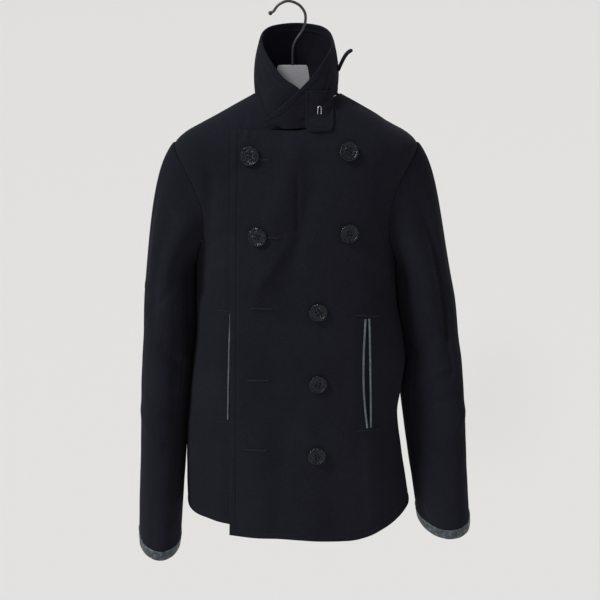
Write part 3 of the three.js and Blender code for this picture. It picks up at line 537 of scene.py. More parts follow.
def path_places(path, pitch):
    """Even places along a line of points, with the direction there and their share of its length."""
    run = run_along(path)
    count = max(int(run[-1] / pitch), 1)
    at = (np.arange(count) + 0.5) * run[-1] / count
    places = np.stack([np.interp(at, run, path[:, k]) for k in range(3)], axis=1)
    ahead = np.stack([np.interp(at + 0.5, run, path[:, k]) for k in range(3)], axis=1)
    behind = np.stack([np.interp(at - 0.5, run, path[:, k]) for k in range(3)], axis=1)
    return places, unit(ahead - behind), at / run[-1]


def ring_faces(rings, sides, first=0):
    """Faces between rings of points that follow each other."""
    faces = []
    for ring in range(rings - 1):
        for k in range(sides):
            a, b = first + ring * sides + k, first + ring * sides + (k + 1) % sides
            faces.append((a, b, b + sides, a + sides))
    return faces


def stitch_row(path, normals, pitch=STITCH_PITCH, length=STITCH_LENGTH, radius=THREAD_RADIUS):
    """Points and faces of a row of small rounded stitches along a line on the cloth."""
    places, along, share = path_places(path, pitch)
    run = run_along(path)
    share_of = run / run[-1]
    up = unit(np.stack([np.interp(share, share_of, normals[:, k]) for k in range(3)], axis=1))
    beside = unit(np.cross(along, up))
    sides = STITCH_SIDES
    points, faces = [], []
    for place, ahead, out, side in zip(places, along, up, beside):
        first = len(points)
        for reach, thick in STITCH_PROFILE:
            for k in range(sides):
                turn = 2 * math.pi * k / sides
                points.append(place + ahead * reach * length + out * radius * thick * math.sin(turn)
                              + side * radius * thick * math.cos(turn))
        faces += ring_faces(len(STITCH_PROFILE), sides, first)
        start, stop = first, first + (len(STITCH_PROFILE) - 1) * sides
        for k in range(1, sides - 2, 2):
            faces.append((start, start + k, start + k + 1, start + (k + 2) % sides))
            faces.append((stop, stop + k, stop + k + 1, stop + (k + 2) % sides))
    return points, faces


# Wearer's left front. Melton with its facing turned behind it, lapping across the coat to the viewer's
# left, where its edge and hem are topstitched 10 mm in. Below its neck it is cut straight across.
OVERLAP_LIFT = 5.0
OVERLAP_TOP_X, OVERLAP_HEM_X, OVERLAP_HEM_Z = 92, 107, -830
LIFT_FULL_X, LIFT_END_X = 108, 146
FRONT_NECK_Z = NECK_Z - FRONT_NECK_DROP


def overlap_lift(angle, z):
    x = body_at(angle, z, soft=False)[..., 0] - COAT_X
    return OVERLAP_LIFT * (1 - smooth_step(LIFT_FULL_X, LIFT_END_X, x))


def left_front_inner(z):
    held = np.minimum(z, FRONT_NECK_Z)
    share = (FRONT_NECK_Z - z) / (FRONT_NECK_Z - OVERLAP_HEM_Z)
    return front_angle(-OVERLAP_TOP_X - (OVERLAP_HEM_X - OVERLAP_TOP_X) * share, held)


LEFT_HEM = (
    # turn in degrees and height of the hem
    (0, -809), (20, -806), (32, -811), (47, -823), (57, -831), (65, -834.5), (76, -833), (90, -829),
    (105, -826.5), (125, -826),
)
left_hem_curve = smooth_through(*columns_of(LEFT_HEM))


def left_front_hem(angle):
    return left_hem_curve(np.degrees(angle))


POCKET_LEFT = (
    # z, jet nearer the centre, jet farther out
    (-460, 103, 108.5), (-515, 101.5, 111), (-570, 102.5, 113), (-605, 105, 114), (-640, 109, 114.5),
)
POCKET_RIGHT = ((-452, -93.5, -99.5), (-540, -95, -104), (-626, -100, -107))
MOUTH_DEPTH = 2.6


def pocket_mouth(rows, x, z):
    """The slack hollow between the two jets of a pocket."""
    heights, near, far = columns_of(rows)
    near_x, far_x = smooth_through(heights, near)(z), smooth_through(heights, far)(z)
    half = np.abs(far_x - near_x) / 2
    inside = np.exp(-(((x - (near_x + far_x) / 2) / np.maximum(half * 0.75, 1)) ** 4))
    above_foot = smooth_step(heights[-1] - 2, heights[-1] + 14, z)
    below_head = 1 - smooth_step(heights[0] - 14, heights[0] + 2, z)
    return -MOUTH_DEPTH * inside * above_foot * below_head


angle, z, from_edge = panel_places(0.0, 1, left_front_inner, left_front_hem,
                                   lambda a: front_neck(np.minimum(a, QUARTER)), 92, EDGE_STEPS)
hem_distance = z - left_front_hem(angle)
flat = body_at(angle, z, soft=False)
lift = overlap_lift(angle, z) + turned_edge(np.minimum(from_edge, hem_distance))
lift = lift + pocket_mouth(POCKET_LEFT, flat[..., 0] - COAT_X, z)
left_front_grid = body_at(angle, z, lift)
left_front_normal = outward(left_front_grid, turned=-1)
left_front = make_piece("front_left_cloth",
                        [wall_of_cloth(left_front_grid, MELTON_THICK, (1, 1, 1, 0.1), turned=-1)], melton)
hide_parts("front_left")

stitch_line = int(np.argmin(np.abs(EDGE_STEPS - STITCH_IN)))
stitch_column = left_front_grid.shape[1] - 1 - stitch_line
stitched = [(slice(stitch_line, None), stitch_column), (stitch_line, slice(stitch_column))]
left_front_thread = make_piece("front_left_topstitching", [
    stitch_row(left_front_grid[line], left_front_normal[line]) for line in stitched], navy_thread)

# Wearer's right front. The same melton, lying under the left front; only its shoulder, side and a strip
# of its pocket show. Its hem is topstitched like the other.
UNDERLAP_X = 98
UNDERLAP_TOP_DROP = 5
RIGHT_HEM_Z, RIGHT_HEM_DIP = -807, 5


def right_front_top(angle):
    hidden = 1 - smooth_step(math.radians(90), math.radians(100), angle)
    return front_neck(np.maximum(angle, QUARTER)) - UNDERLAP_TOP_DROP * hidden


def right_front_hem(angle):
    return RIGHT_HEM_Z - RIGHT_HEM_DIP * np.sin(angle) ** 4


def underlap_angle(z):
    return front_angle(UNDERLAP_X, np.minimum(z, FRONT_NECK_Z))


angle, z, from_edge = panel_places(HALF_TURN, -1, underlap_angle, right_front_hem, right_front_top,
                                   84, EDGE_STEPS[:0])
flat = body_at(angle, z, soft=False)
lift = turned_edge(z - right_front_hem(angle)) + pocket_mouth(POCKET_RIGHT, flat[..., 0] - COAT_X, z)
right_front_grid = body_at(angle, z, lift)
right_front_normal = outward(right_front_grid, turned=1)
right_front = make_piece("front_right_cloth",
                         [wall_of_cloth(right_front_grid, MELTON_THICK, (1, 0.5, 1, 0.1), turned=1)], melton)
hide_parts("front_right")
right_hem = stitch_row(right_front_grid[stitch_line], right_front_normal[stitch_line])
right_front_thread = make_piece("front_right_topstitching", [right_hem], navy_thread)

# Back. One width of melton from side seam to side seam, hung from the shoulders, with its hem turned up
# and topstitched, and soft upright folds below the waist.
BACK_COLUMNS = 130
BACK_HEM_Z, BACK_HEM_DIP = -812, 4


def back_hem(angle):
    return BACK_HEM_Z - BACK_HEM_DIP * np.sin(angle) ** 4


across = np.linspace(0, 1, BACK_COLUMNS + 1)
back_rows = []
for i, edge_z in enumerate(panel_heights(back_hem(0.0), back_neck(0.0), 0.0)):
    start = armhole_angle(edge_z) + seam_angle(edge_z)
    row_angle = HALF_TURN + start + (HALF_TURN - 2 * start) * across
    row_z = panel_heights(back_hem(row_angle), back_neck(row_angle), 1 - np.abs(2 * across - 1))[i]
    back_rows.append(body_at(row_angle, row_z, turned_edge(row_z - back_hem(row_angle))))
back_grid = np.array(back_rows)
back = make_piece("back_cloth", [wall_of_cloth(back_grid, MELTON_THICK, (1, 0.1, 1, 0.1), turned=-1)], melton)
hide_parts("back")
back_hem = stitch_row(back_grid[stitch_line], outward(back_grid, turned=-1)[stitch_line])
back_hem_thread = make_piece("back_topstitching", [back_hem], navy_thread)

# Sleeves. Each is a top sleeve and an under sleeve seamed down its front and back, eased into the
# armhole at a rounded head. The two hang differently: the wearer's left one turns outwards.
UPPER_ARM_Z = -410
CUFF_BAND = 15
FRONT_SLEEVE_SEAM = math.radians(132)
BACK_SLEEVE_SEAM = math.radians(262)
ARMHOLE_GAP = 0.12
PRESS_IN = 0.9
PRESS_FROM_Z = (-780, -700)
HEAD_SIDEWAYS, HEAD_SIDEWAYS_TOP = 0.575, 0.275
HEAD_DOWN, HEAD_DOWN_TOP = 0.74, 0.21
HEAD_EASE, HEAD_EASE_TOP = 22, 14
HEAD_FALL, HEAD_PROBE = 0.42, 20
HEAD_FULL, HEAD_FULL_FROM, HEAD_FULL_TO = 1.7, 0.02, 0.1
SLEEVES = {
    "right": {
        "side": -1, "cuff": -877, "slant_front": 11,
        "sections": (
            # z, inner edge, outer edge, half-depth, y of its middle, lean in degrees
            (-410, -146.8, -227, 66, 2, 0), (-457, -147.7, -232.5, 64, 6, 0), (-505, -149.8, -236, 62, 8, 0),
            (-550, -155.2, -240, 60, 8, 0), (-600, -161.9, -244, 59, 6, 0),
            (-645, -167.4, -246.3, 58.4, 3.5, 0), (-702, -172, -249, 57, -0.5, -3),
            (-814, -180.5, -255.3, 55, -9, -9), (-877, -186, -258.5, 54, -15, -12),
        ),
        "folds": (
            # turn in degrees, z of its start and end, spread in degrees, rise
            (62, -250, -520, 13, -3.4), (118, -470, -640, 14, -3.0), (300, -420, -660, 15, -3.0),
        ),
        "creases": (
            # turn and z of its start, turn and z of its end, spread, rise
            (136, -270, 146, -520, 16, -8.0),
            (40, -225, 52, -330, 5, -2.1), (20, -262, 28, -470, 6, 1.4), (96, -330, 40, -376, 9, -2.4),
            (110, -372, 30, -424, 9, 2.4), (104, -420, 44, -462, 9, -2.2), (84, -520, 132, -556, 10, -3),
            (70, -562, 128, -590, 9, 2.7), (58, -604, 120, -634, 10, -2.6), (20, -640, 88, -676, 12, 1.9),
            (330, -540, 286, -578, 10, -2.6), (336, -604, 280, -640, 11, 2.2), (92, -720, 30, -752, 13, -1.9),
            (70, -800, 128, -826, 12, 1.9), (310, -760, 352, -800, 12, -1.9), (78, -850, 20, -866, 10, -1.8),
            (250, -420, 310, -470, 10, -2.2), (240, -480, 300, -530, 10, 1.9),
        ),
    },
    "left": {
        "side": 1, "cuff": -836, "slant_front": 15,
        "sections": (
            (-410, 169.3, 257, 66, 2, 0), (-457, 173.2, 266, 64, 5, 8), (-505, 182.2, 272, 61, 7, 14),
            (-550, 188.7, 279, 59, 7, 20), (-600, 184.6, 284, 56, 4, 26), (-645, 188.3, 287.7, 54.5, 1, 29),
            (-702, 196.2, 292.5, 53, -2.5, 23), (-814, 213.5, 302, 51, -11, 10),
            (-836, 216.7, 305, 50, -13.5, 8),
        ),
        "folds": (
            (64, -250, -600, 13, -3.8), (112, -300, -420, 14, -2.6), (290, -430, -690, 15, -3.2),
        ),
        "creases": (
            (138, -270, 148, -520, 15, -8.0), (58, -240, 56, -500, 8, -5.0),
            (44, -232, 58, -330, 5, -2.2), (104, -286, 66, -306, 5, -2.9), (108, -304, 60, -330, 5, 2.6),
            (110, -326, 56, -354, 6, -2.7), (104, -352, 50, -384, 7, 2.4), (98, -384, 46, -420, 8, -2.2),
            (60, -360, 54, -560, 5, -2.4), (84, -500, 128, -536, 10, -2.9), (66, -548, 124, -574, 9, 2.6),
            (40, -590, 108, -622, 10, -2.4), (14, -630, 76, -662, 12, 2.1), (336, -530, 290, -566, 10, -2.4),
            (330, -600, 284, -634, 11, 2.1), (86, -700, 30, -730, 12, -1.9), (64, -770, 120, -800, 12, 1.9),
            (300, -740, 350, -776, 12, -1.9), (254, -420, 312, -462, 10, -2.2),
        ),
    },
}


def sleeve_parts(sleeve):
    heights, *sizes = columns_of(sleeve["sections"])
    return [smooth_through(heights, size) for size in sizes]


def sleeve_section(sleeve, turn, z, soft=True):
    inner, outer, depth, middle_y, lean = [curve(z) for curve in sleeve_parts(sleeve)]
    wave = np.sin(turn + np.radians(lean))
    degrees = np.degrees(turn)
    out = 1.0
    for at, from_z, to_z, spread, rise in sleeve["folds"]:
        away = (degrees - at + 180) % 360 - 180
        within = smooth_step(to_z, to_z + 60, z) * (1 - smooth_step(from_z - 60, from_z, z))
        out = out + rise / depth * np.exp(-((away / spread) ** 2)) * within
    if soft:
        around = degrees % 360
        for at1, z1, at2, z2, spread, rise in sleeve["creases"]:
            near = crease_rise(((at1, z1, at2, z2, spread, rise),), around, z)
            out = out + near / depth
        out = out + uneven(around * 1.6, z) / depth
    down = smooth_step(0, 1, (UPPER_ARM_Z - z) / (UPPER_ARM_Z - sleeve["cuff"]))
    slant = sleeve["slant_front"] * wave * down
    pressed = sleeve["side"] * PRESS_IN * smooth_step(*PRESS_FROM_Z, z)
    x = (inner + outer) / 2 + (outer - inner) / 2 * np.cos(turn) * out - pressed
    return np.stack([x, middle_y - depth * wave * out, z - slant], axis=-1)


def sleeve_at(sleeve, turn, along):
    """Points of a sleeve: along is 0 at the armhole, 1 at the upper arm and 2 at the cuff."""
    down = UPPER_ARM_Z + (sleeve["cuff"] - UPPER_ARM_Z) * np.clip(along - 1, 0, 1)
    tube = sleeve_section(sleeve, turn, down)
    side = sleeve["side"]
    root_z = armhole_height(turn)
    spread = ARMHOLE_SPREAD * np.sin(turn)
    root = body_at(spread if side > 0 else HALF_TURN - spread, root_z)
    leave = unit(np.stack([side * (HEAD_SIDEWAYS + HEAD_SIDEWAYS_TOP * np.cos(turn)), 0 * turn,
                           HEAD_DOWN_TOP * np.cos(turn) - HEAD_DOWN], axis=-1))
    root = root + leave * ARMHOLE_GAP
    end = sleeve_section(sleeve, turn, UPPER_ARM_Z + 0 * turn)
    arrive = unit(end - sleeve_section(sleeve, turn, UPPER_ARM_Z - HEAD_PROBE + 0 * turn))
    reach = np.linalg.norm(end - root, axis=-1, keepdims=True)
    first = root + leave * (HEAD_EASE + HEAD_EASE_TOP * np.cos(turn))[..., None]
    second = end + arrive * reach * HEAD_FALL
    t = np.clip(along, 0, 1)[..., None]
    head = root * (1 - t) ** 3 + first * 3 * t * (1 - t) ** 2 + second * 3 * t**2 * (1 - t) + end * t**3
    full = np.exp(-((along / HEAD_FULL_TO) ** 2)) * (1 - np.exp(-((along / HEAD_FULL_FROM) ** 2)))
    full = full * HEAD_FULL * np.clip(np.cos(turn), 0, 1)
    head = head + np.array([side * 0.5, 0, 1.0]) * full[..., None]
    return np.where(along[..., None] < 1, head, tube)


SLEEVE_HEAD_ROWS = 40
SLEEVE_ROWS = 150
TOP_SLEEVE_COLUMNS = 64
UNDER_SLEEVE_COLUMNS = 34
TOP_SLEEVE_CUT = {"right": (0.245, 0.72), "left": (0.245, 0.69)}
UNDER_SLEEVE_CUT = {"right": (0.135, 0.62), "left": (0.135, 0.59)}
TOP_SLEEVE_AREA = {"right": 0.135, "left": 0.13}
UNDER_SLEEVE_AREA = {"right": 0.075, "left": 0.07}
for name, sleeve in SLEEVES.items():
    length = UPPER_ARM_Z - sleeve["cuff"]
    cloth_end = 2 - CUFF_BAND / length
    alongs = np.concatenate([np.linspace(0, 1, SLEEVE_HEAD_ROWS, endpoint=False),
                             np.linspace(1, cloth_end, SLEEVE_ROWS)])
    gap = SEAM_GAP / 2 / 50
    for kind, start, stop, columns, cut, area in (
            ("top", BACK_SLEEVE_SEAM - 2 * math.pi + gap, FRONT_SLEEVE_SEAM - gap, TOP_SLEEVE_COLUMNS,
             TOP_SLEEVE_CUT, TOP_SLEEVE_AREA),
            ("under", FRONT_SLEEVE_SEAM + gap, BACK_SLEEVE_SEAM - gap, UNDER_SLEEVE_COLUMNS,
             UNDER_SLEEVE_CUT, UNDER_SLEEVE_AREA)):
        turns = np.linspace(start, stop, columns + 1)
        along, turn = np.meshgrid(alongs, turns, indexing="ij")
        grid = sleeve_at(sleeve, turn, along)
        wall = wall_of_cloth(grid, MELTON_THICK, (0.1, 0.3, 0.2, 0.3), turned=sleeve["side"])
        piece = make_piece(f"{kind}_sleeve_{name}_cloth", [wall], melton)
        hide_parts(f"{kind}_sleeve_{name}")

# Cuff bindings. A strip of teal-grey leather folded over each cuff's raw edge, 15 mm deep, seamed on at
# its top, mottled and rubbed paler along its creases.
LEATHER_DARK = (0.010, 0.017, 0.022)
LEATHER_MID = (0.036, 0.050, 0.062)
LEATHER_RUBBED = (0.19, 0.22, 0.245)
BINDING_PROUD = 0.5


def leather_finish(name, dark, middle, rubbed):
    finish, tree, shader = new_finish(name)
    patches = object_noise(tree, 85, 4, 0.65)
    grain = object_noise(tree, 700, 4, 0.65)
    scuffs = object_noise(tree, 150, 5, 0.75)
    hide = ramp(tree, patches, 0.35, 0.68, dark, middle)
    hide = blend_colours(tree, ramp(tree, scuffs, 0.5, 0.62, (0, 0, 0), (0.85, 0.85, 0.85)), hide,
                         ramp(tree, grain, 0.3, 0.75, middle, rubbed))
    tree.links.new(hide, shader.inputs["Base Color"])
    shader.inputs["Roughness"].default_value = 0.46
    shader.inputs["Specular IOR Level"].default_value = 0.45
    add_bump(tree, shader, ((patches, 0.0015, 0.3), (grain, 0.0006, 0.55)))
    return finish


binding_leather = leather_finish("binding_leather", LEATHER_DARK, LEATHER_MID, LEATHER_RUBBED)
BINDING_ROWS = 12
BINDING_ROUND_ROWS = 7
BINDING_COLUMNS = 150
BINDING_SKIN = 0.8
for name, sleeve in SLEEVES.items():
    length = UPPER_ARM_Z - sleeve["cuff"]
    alongs = np.linspace(2 - (CUFF_BAND - 0.4) / length, 2, BINDING_ROWS)
    turns = np.linspace(0, 2 * math.pi, BINDING_COLUMNS, endpoint=False)
    along, turn = np.meshgrid(alongs, turns, indexing="ij")
    face = sleeve_at(sleeve, turn, along)
    out = outward(face, ring=True, turned=sleeve["side"])
    down = ((along - alongs[0]) / (alongs[-1] - alongs[0]))[..., None]
    pucker = (0.28 * np.sin(turn * 34 + 2 * np.sin(turn * 5)))[..., None] * (1 - down) \
        + (0.2 * np.sin(turn * 13 + 1))[..., None]
    roll = 0.7 * np.sin(np.clip(down * 4, 0, 1) * HALF_TURN) + 0.5 * np.sin(down * HALF_TURN)
    outside = face + out * (BINDING_PROUD + pucker + roll)
    inside = face - out * (MELTON_THICK + BINDING_PROUD + BINDING_SKIN)
    swing = np.linspace(0, HALF_TURN, BINDING_ROUND_ROWS + 2)[1:-1, None, None]
    hem_down = unit(face[-1] - face[-2])
    middle = (outside[-1] + inside[-1]) / 2
    half = np.linalg.norm(outside[-1] - inside[-1], axis=-1, keepdims=True) / 2
    under = middle + (out[-1] * np.cos(swing) + hem_down * np.sin(swing)) * half
    grid = np.concatenate([outside, under, inside[::-1]])
    wall = wall_of_cloth(grid, BINDING_SKIN, (0.3, 0, 0.3, 0), ring=True, turned=sleeve["side"])
    binding = make_piece(f"cuff_binding_{name}_leather", [wall], binding_leather)
    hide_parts(f"cuff_binding_{name}")

# Collar. Two layers of melton with canvas between, worn up like a funnel. Its leaves cross at the
# throat, the wearer's left one outside, and its free edge is topstitched.
COLLAR_THICK = 3.6
COLLAR_BULGE = 7
COLLAR_TIP_HEIGHT = 8
LEAF_LIFT = 5.2
LEAF_BASE_Z = -173
NECK_SEAM = 0.5
TURN_END = 209
COLLAR_EDGE = (
    # turn from the centre back, x from the coat's centre line, y, z
    (-209, 27, -73, -140), (-194, 16, -73.5, -130), (-178, 1, -72, -117), (-156, -20, -64, -103),
    (-136, -38, -46, -82), (-115, -50, -22, -63), (-92, -53.5, 6, -50), (-68, -48, 27, -40),
    (-42, -33, 42, -34), (0, 0, 50, -31), (42, 33, 42, -34), (68, 48, 27, -40), (92, 54.5, 6, -50),
    (115, 54, -23, -62), (136, 45, -48, -75), (156, 28, -68, -97), (178, 3, -80, -122),
    (194, -19, -86.5, -141), (209, -43, -88, -160),
)
COLLAR_CREASES = (
    # turn and height share of its start and of its end, spread, rise; heights count 100 for the whole
    (-150, 20, -120, 60, 9, -1.6), (-168, 4, -142, 26, 6, 1.5), (-128, 2, -112, 34, 6, -1.4),
    (120, 10, 150, 64, 9, 1.2), (136, 46, 172, 20, 7, -1.4), (96, 8, 116, 52, 8, -1.3),
    (-30, 10, 36, 26, 12, -1.3), (-70, 60, -20, 72, 13, 1.1), (30, 50, 80, 64, 12, -1.0),
)
edge_turn, *edge_places = columns_of(COLLAR_EDGE)
edge_x, edge_y, edge_z_at = [smooth_through(edge_turn, places) for places in edge_places]


def collar_edge(turn):
    return np.stack([COAT_X + edge_x(turn), edge_y(turn), edge_z_at(turn)], axis=-1)


def collar_base(turn):
    reach = np.abs(turn)
    neck_angle = np.radians(np.sign(turn) * np.minimum(reach, 176) - 90)
    neck_z = np.where(reach < 90, back_neck(neck_angle), front_neck(neck_angle))
    lift = np.where(turn > 0, LEAF_LIFT * smooth_step(95, 150, turn), 0)
    base = body_at(neck_angle % (2 * math.pi), neck_z + NECK_SEAM, lift, soft=False)
    tip = collar_edge(turn)
    tip_z = tip[..., 2] - COLLAR_TIP_HEIGHT
    run_z = np.where(turn > 0, LEAF_BASE_Z + (tip_z - LEAF_BASE_Z) * smooth_step(196, TURN_END, reach), tip_z)
    base[..., 0] += (tip[..., 0] - base[..., 0]) * smooth_step(160, TURN_END, reach)
    base[..., 1] += (tip[..., 1] - base[..., 1]) * smooth_step(150, 190, reach)
    risen = np.where(turn > 0, smooth_step(160, 178, reach), smooth_step(160, TURN_END, reach))
    base[..., 2] += (run_z - base[..., 2]) * risen
    return base


def collar_at(turn, height, soft=True):
    """Points of the collar: height 0 is the neck seam and 1 the free edge."""
    base = collar_base(turn)
    point = base + (collar_edge(turn) - base) * height[..., None]
    bulge = COLLAR_BULGE * 4 * height * (1 - height) * np.cos(np.radians(np.minimum(np.abs(turn), 180)) / 2)
    if soft:
        ease = np.minimum(1, np.minimum(height, 1 - height) * 8)
        bulge = bulge + crease_rise(COLLAR_CREASES, turn, height * 100) * ease
    away = base - np.array([COAT_X, 0, 0])
    away[..., 2] = 0
    return point + unit(away) * np.maximum(bulge, -2.5)[..., None]


COLLAR_COLUMNS = 230
COLLAR_ROWS = 40
COLLAR_NARROW = 24
COLLAR_SPAN = 118
rise_steps = np.concatenate([np.linspace(0, 1 - EDGE_STEPS[-1] / COLLAR_SPAN, COLLAR_ROWS, endpoint=False),
                             1 - EDGE_STEPS[::-1] / COLLAR_SPAN])
turn_steps = np.linspace(edge_turn[0], edge_turn[-1], COLLAR_COLUMNS)
height, turn = np.meshgrid(rise_steps, turn_steps, indexing="ij")
base_run = np.linalg.norm(collar_edge(turn) - collar_base(turn), axis=-1)
by_edge = 1 - (1 - height[COLLAR_ROWS:]) * COLLAR_SPAN / np.maximum(base_run[COLLAR_ROWS:], COLLAR_NARROW)
height[COLLAR_ROWS:] = np.clip(by_edge, 0, 1)
height[:COLLAR_ROWS] = (np.arange(COLLAR_ROWS) / COLLAR_ROWS)[:, None] * height[COLLAR_ROWS][None]
collar_grid = collar_at(turn, height)
collar_out = outward(collar_grid, turned=-1)
edge_distance = (1 - height) * np.maximum(base_run, COLLAR_NARROW)
collar_grid = collar_grid + 0.5 * collar_out * turned_edge(edge_distance)[..., None]
collar_wall = wall_of_cloth(collar_grid, COLLAR_THICK, (0.2, 1, 1, 1), turned=-1)
collar = make_piece("collar_cloth", [collar_wall], melton)
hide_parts("collar")
collar_line = len(rise_steps) - 1 - stitch_line
collar_stitches = stitch_row(collar_grid[collar_line, 4:-4], collar_out[collar_line, 4:-4])
collar_thread = make_piece("collar_topstitching", [collar_stitches], navy_thread)

# Throat tab. A small doubled tab of melton that hangs from the outer leaf over the neck seam, with
# rounded lower corners and stitching round it. Buttoned across, it would hold the collar shut.
TAB_FROM_X, TAB_TO_X = 54, 14
TAB_TOP_Z, TAB_BOTTOM_Z = -121, -176
TAB_CORNER, TAB_BLEND, TAB_THICK = 7, 3, 2.4
TAB_STITCH_IN = 4.5
SEAT = 0.35


def leaf_depth(x, z):
    low, high = np.full(np.broadcast(x, z).shape, 100.0), np.full(np.broadcast(x, z).shape, 178.0)
    for _ in range(24):
        middle = (low + high) / 2
        base_z = collar_base(middle)[..., 2]
        share = np.clip((z - base_z) / (edge_z_at(middle) - base_z), 0, 1)
        point = collar_at(middle, share)
        beyond = point[..., 0] - COAT_X > x
        low, high = np.where(beyond, middle, low), np.where(beyond, high, middle)
    return -point[..., 1]


def under_tab(x, z):
    front = -body_at(front_angle(x, z), z, OVERLAP_LIFT)[..., 1]
    return TAB_BLEND * np.log(np.exp(leaf_depth(x, z) / TAB_BLEND) + np.exp(front / TAB_BLEND))


def tab_at(x, z):
    depth = under_tab(x, z)
    steep = np.sqrt(1 + (under_tab(x + 1, z) - depth) ** 2 + (under_tab(x, z + 1) - depth) ** 2)
    return np.stack([COAT_X + x, -depth - (2 * SEAT + TAB_THICK) * steep, z + 0 * x], axis=-1)


across, rise = np.meshgrid(np.linspace(0, 1, 40), np.linspace(0, 1, 48))
bottom = TAB_BOTTOM_Z + TAB_CORNER * np.abs(2 * across - 1) ** 6
tab_x = TAB_FROM_X + (TAB_TO_X - TAB_FROM_X) * across
tab_z = bottom + (TAB_TOP_Z - bottom) * rise
tab_grid = tab_at(tab_x, tab_z)
tab_edge = np.minimum(np.minimum(across, 1 - across) * abs(TAB_TO_X - TAB_FROM_X),
                      rise * (TAB_TOP_Z - TAB_BOTTOM_Z))
tab_full = 0.5 * np.sin(np.clip(tab_edge / TAB_STITCH_IN, 0, 1) * HALF_TURN)
tab_full = tab_full - 0.6 * np.exp(-(((tab_edge - TAB_STITCH_IN) / 0.8) ** 2))
tab_out = outward(tab_grid, turned=-1)
tab_grid = tab_grid + tab_out * tab_full[..., None]
tab = make_piece("throat_tab_cloth", [wall_of_cloth(tab_grid, TAB_THICK, turned=-1)], melton)
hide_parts("throat_tab")

# Wire hook on the throat tab. A bright steel wire, bent to a narrow loop with its round end upwards and
# sewn to the tab by its two feet. It catches an eye on the other leaf when the collar is shut.
HOOK_EYE_X, HOOK_EYE_Z = 33.5, -147
HOOK_EYE_WIDTH, HOOK_EYE_HEIGHT, HOOK_EYE_WIRE = 5, 11, 0.8
HOOK_EYE_CLEAR = 0.5
DOME_SHARE = 0.6


def tube_along(path, radii, sides=12):
    """Points and faces of a round tube along a line, closed at both ends by a small dome."""
    path = np.asarray(path, float)
    radii = np.broadcast_to(radii, len(path)).astype(float)
    along = unit(np.gradient(path, axis=0))
    side = np.cross(along[0], (0.3, 1.0, 0.2))
    points = []
    for place, ahead, radius in zip(path, along, radii):
        side = side - ahead * np.dot(side, ahead)
        side = side / np.linalg.norm(side)
        other = np.cross(ahead, side)
        turns = 2 * math.pi * np.arange(sides) / sides
        points.append(place + radius * (np.cos(turns)[:, None] * side + np.sin(turns)[:, None] * other))
    points.append(path[:1] - along[:1] * radii[0] * DOME_SHARE)
    points.append(path[-1:] + along[-1:] * radii[-1] * DOME_SHARE)
    points = np.concatenate(points)
    first_cap, last_cap = len(points) - 2, len(points) - 1
    last_ring = (len(path) - 1) * sides
    caps = [(first_cap, (k + 1) % sides, k) for k in range(sides)]
    caps += [(last_cap, last_ring + k, last_ring + (k + 1) % sides) for k in range(sides)]
    return points, ring_faces(len(path), sides) + caps


def smooth_path(points, count):
    """An even number of places on a smooth line through a few points."""
    points = np.asarray(points, float)
    run = run_along(points)
    at = np.linspace(0, run[-1], count)
    return np.stack([smooth_through(run, points[:, k])(at) for k in range(points.shape[1])], axis=1)


def metal_finish(name, colour, roughness, metallic=1.0):
    finish, tree, shader = new_finish(name)
    wear = object_noise(tree, 240, 4)
    paler = tuple(min(channel * 1.5, 1) for channel in colour)
    tree.links.new(ramp(tree, wear, 0.35, 0.7, colour, paler), shader.inputs["Base Color"])
    shader.inputs["Metallic"].default_value = metallic
    shader.inputs["Roughness"].default_value = roughness
    add_bump(tree, shader, ((wear, 0.0003, 0.15),))
    return finish


bright_wire = metal_finish("bright_wire", (0.36, 0.36, 0.37), 0.3)
half = HOOK_EYE_WIDTH / 2
eye_outline = smooth_path([(-half, -HOOK_EYE_HEIGHT / 2), (-half, 0), (-half * 0.86, HOOK_EYE_HEIGHT * 0.32),
                           (0, HOOK_EYE_HEIGHT / 2), (half * 0.86, HOOK_EYE_HEIGHT * 0.32), (half, 0),
                           (half, -HOOK_EYE_HEIGHT / 2)], 44)
eye_path = tab_at(HOOK_EYE_X + eye_outline[:, 0], HOOK_EYE_Z + eye_outline[:, 1])
eye_path[:, 1] -= HOOK_EYE_WIRE + HOOK_EYE_CLEAR
hook_eye = make_piece("collar_hook_wire", [tube_along(eye_path, HOOK_EYE_WIRE)], bright_wire)
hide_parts("collar_hook")

# Strap end. The end of a narrow strap of melton, doubled and turned in, that is caught in the collar's
# side by its root and stands out and up beside it.
STRAP_X, STRAP_Y, STRAP_Z = 59.9, -6, -91
STRAP_RUN, STRAP_CLIMB, STRAP_BOW = 18, 24, 5
STRAP_WIDTH, STRAP_CLOTH = 24, 4.0
STRAP_OUT, STRAP_LIFT = 3.2, 1.0
STRAP_ROOT = 0.14
t = np.linspace(-STRAP_ROOT, 1, 34)
strap_x = COAT_X + STRAP_X + STRAP_OUT + STRAP_RUN * t
strap_z = STRAP_Z + STRAP_LIFT + STRAP_CLIMB * t + STRAP_BOW * np.sin(math.pi * t)
width_share = np.linspace(-0.5, 0.5, 16)
tip_round = 1 - 0.35 * smooth_step(0.8, 1, t) ** 2
grid = np.stack([
    strap_x[:, None] + 0 * width_share,
    STRAP_Y + STRAP_WIDTH * width_share * tip_round[:, None],
    strap_z[:, None] + 0 * width_share,
], axis=-1)
strap_wall = wall_of_cloth(grid, STRAP_CLOTH, (0.4, 0.9, 0.9, 0.9), turned=-1)
strap = make_piece("strap_end_cloth", [strap_wall], melton)
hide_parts("strap_end")

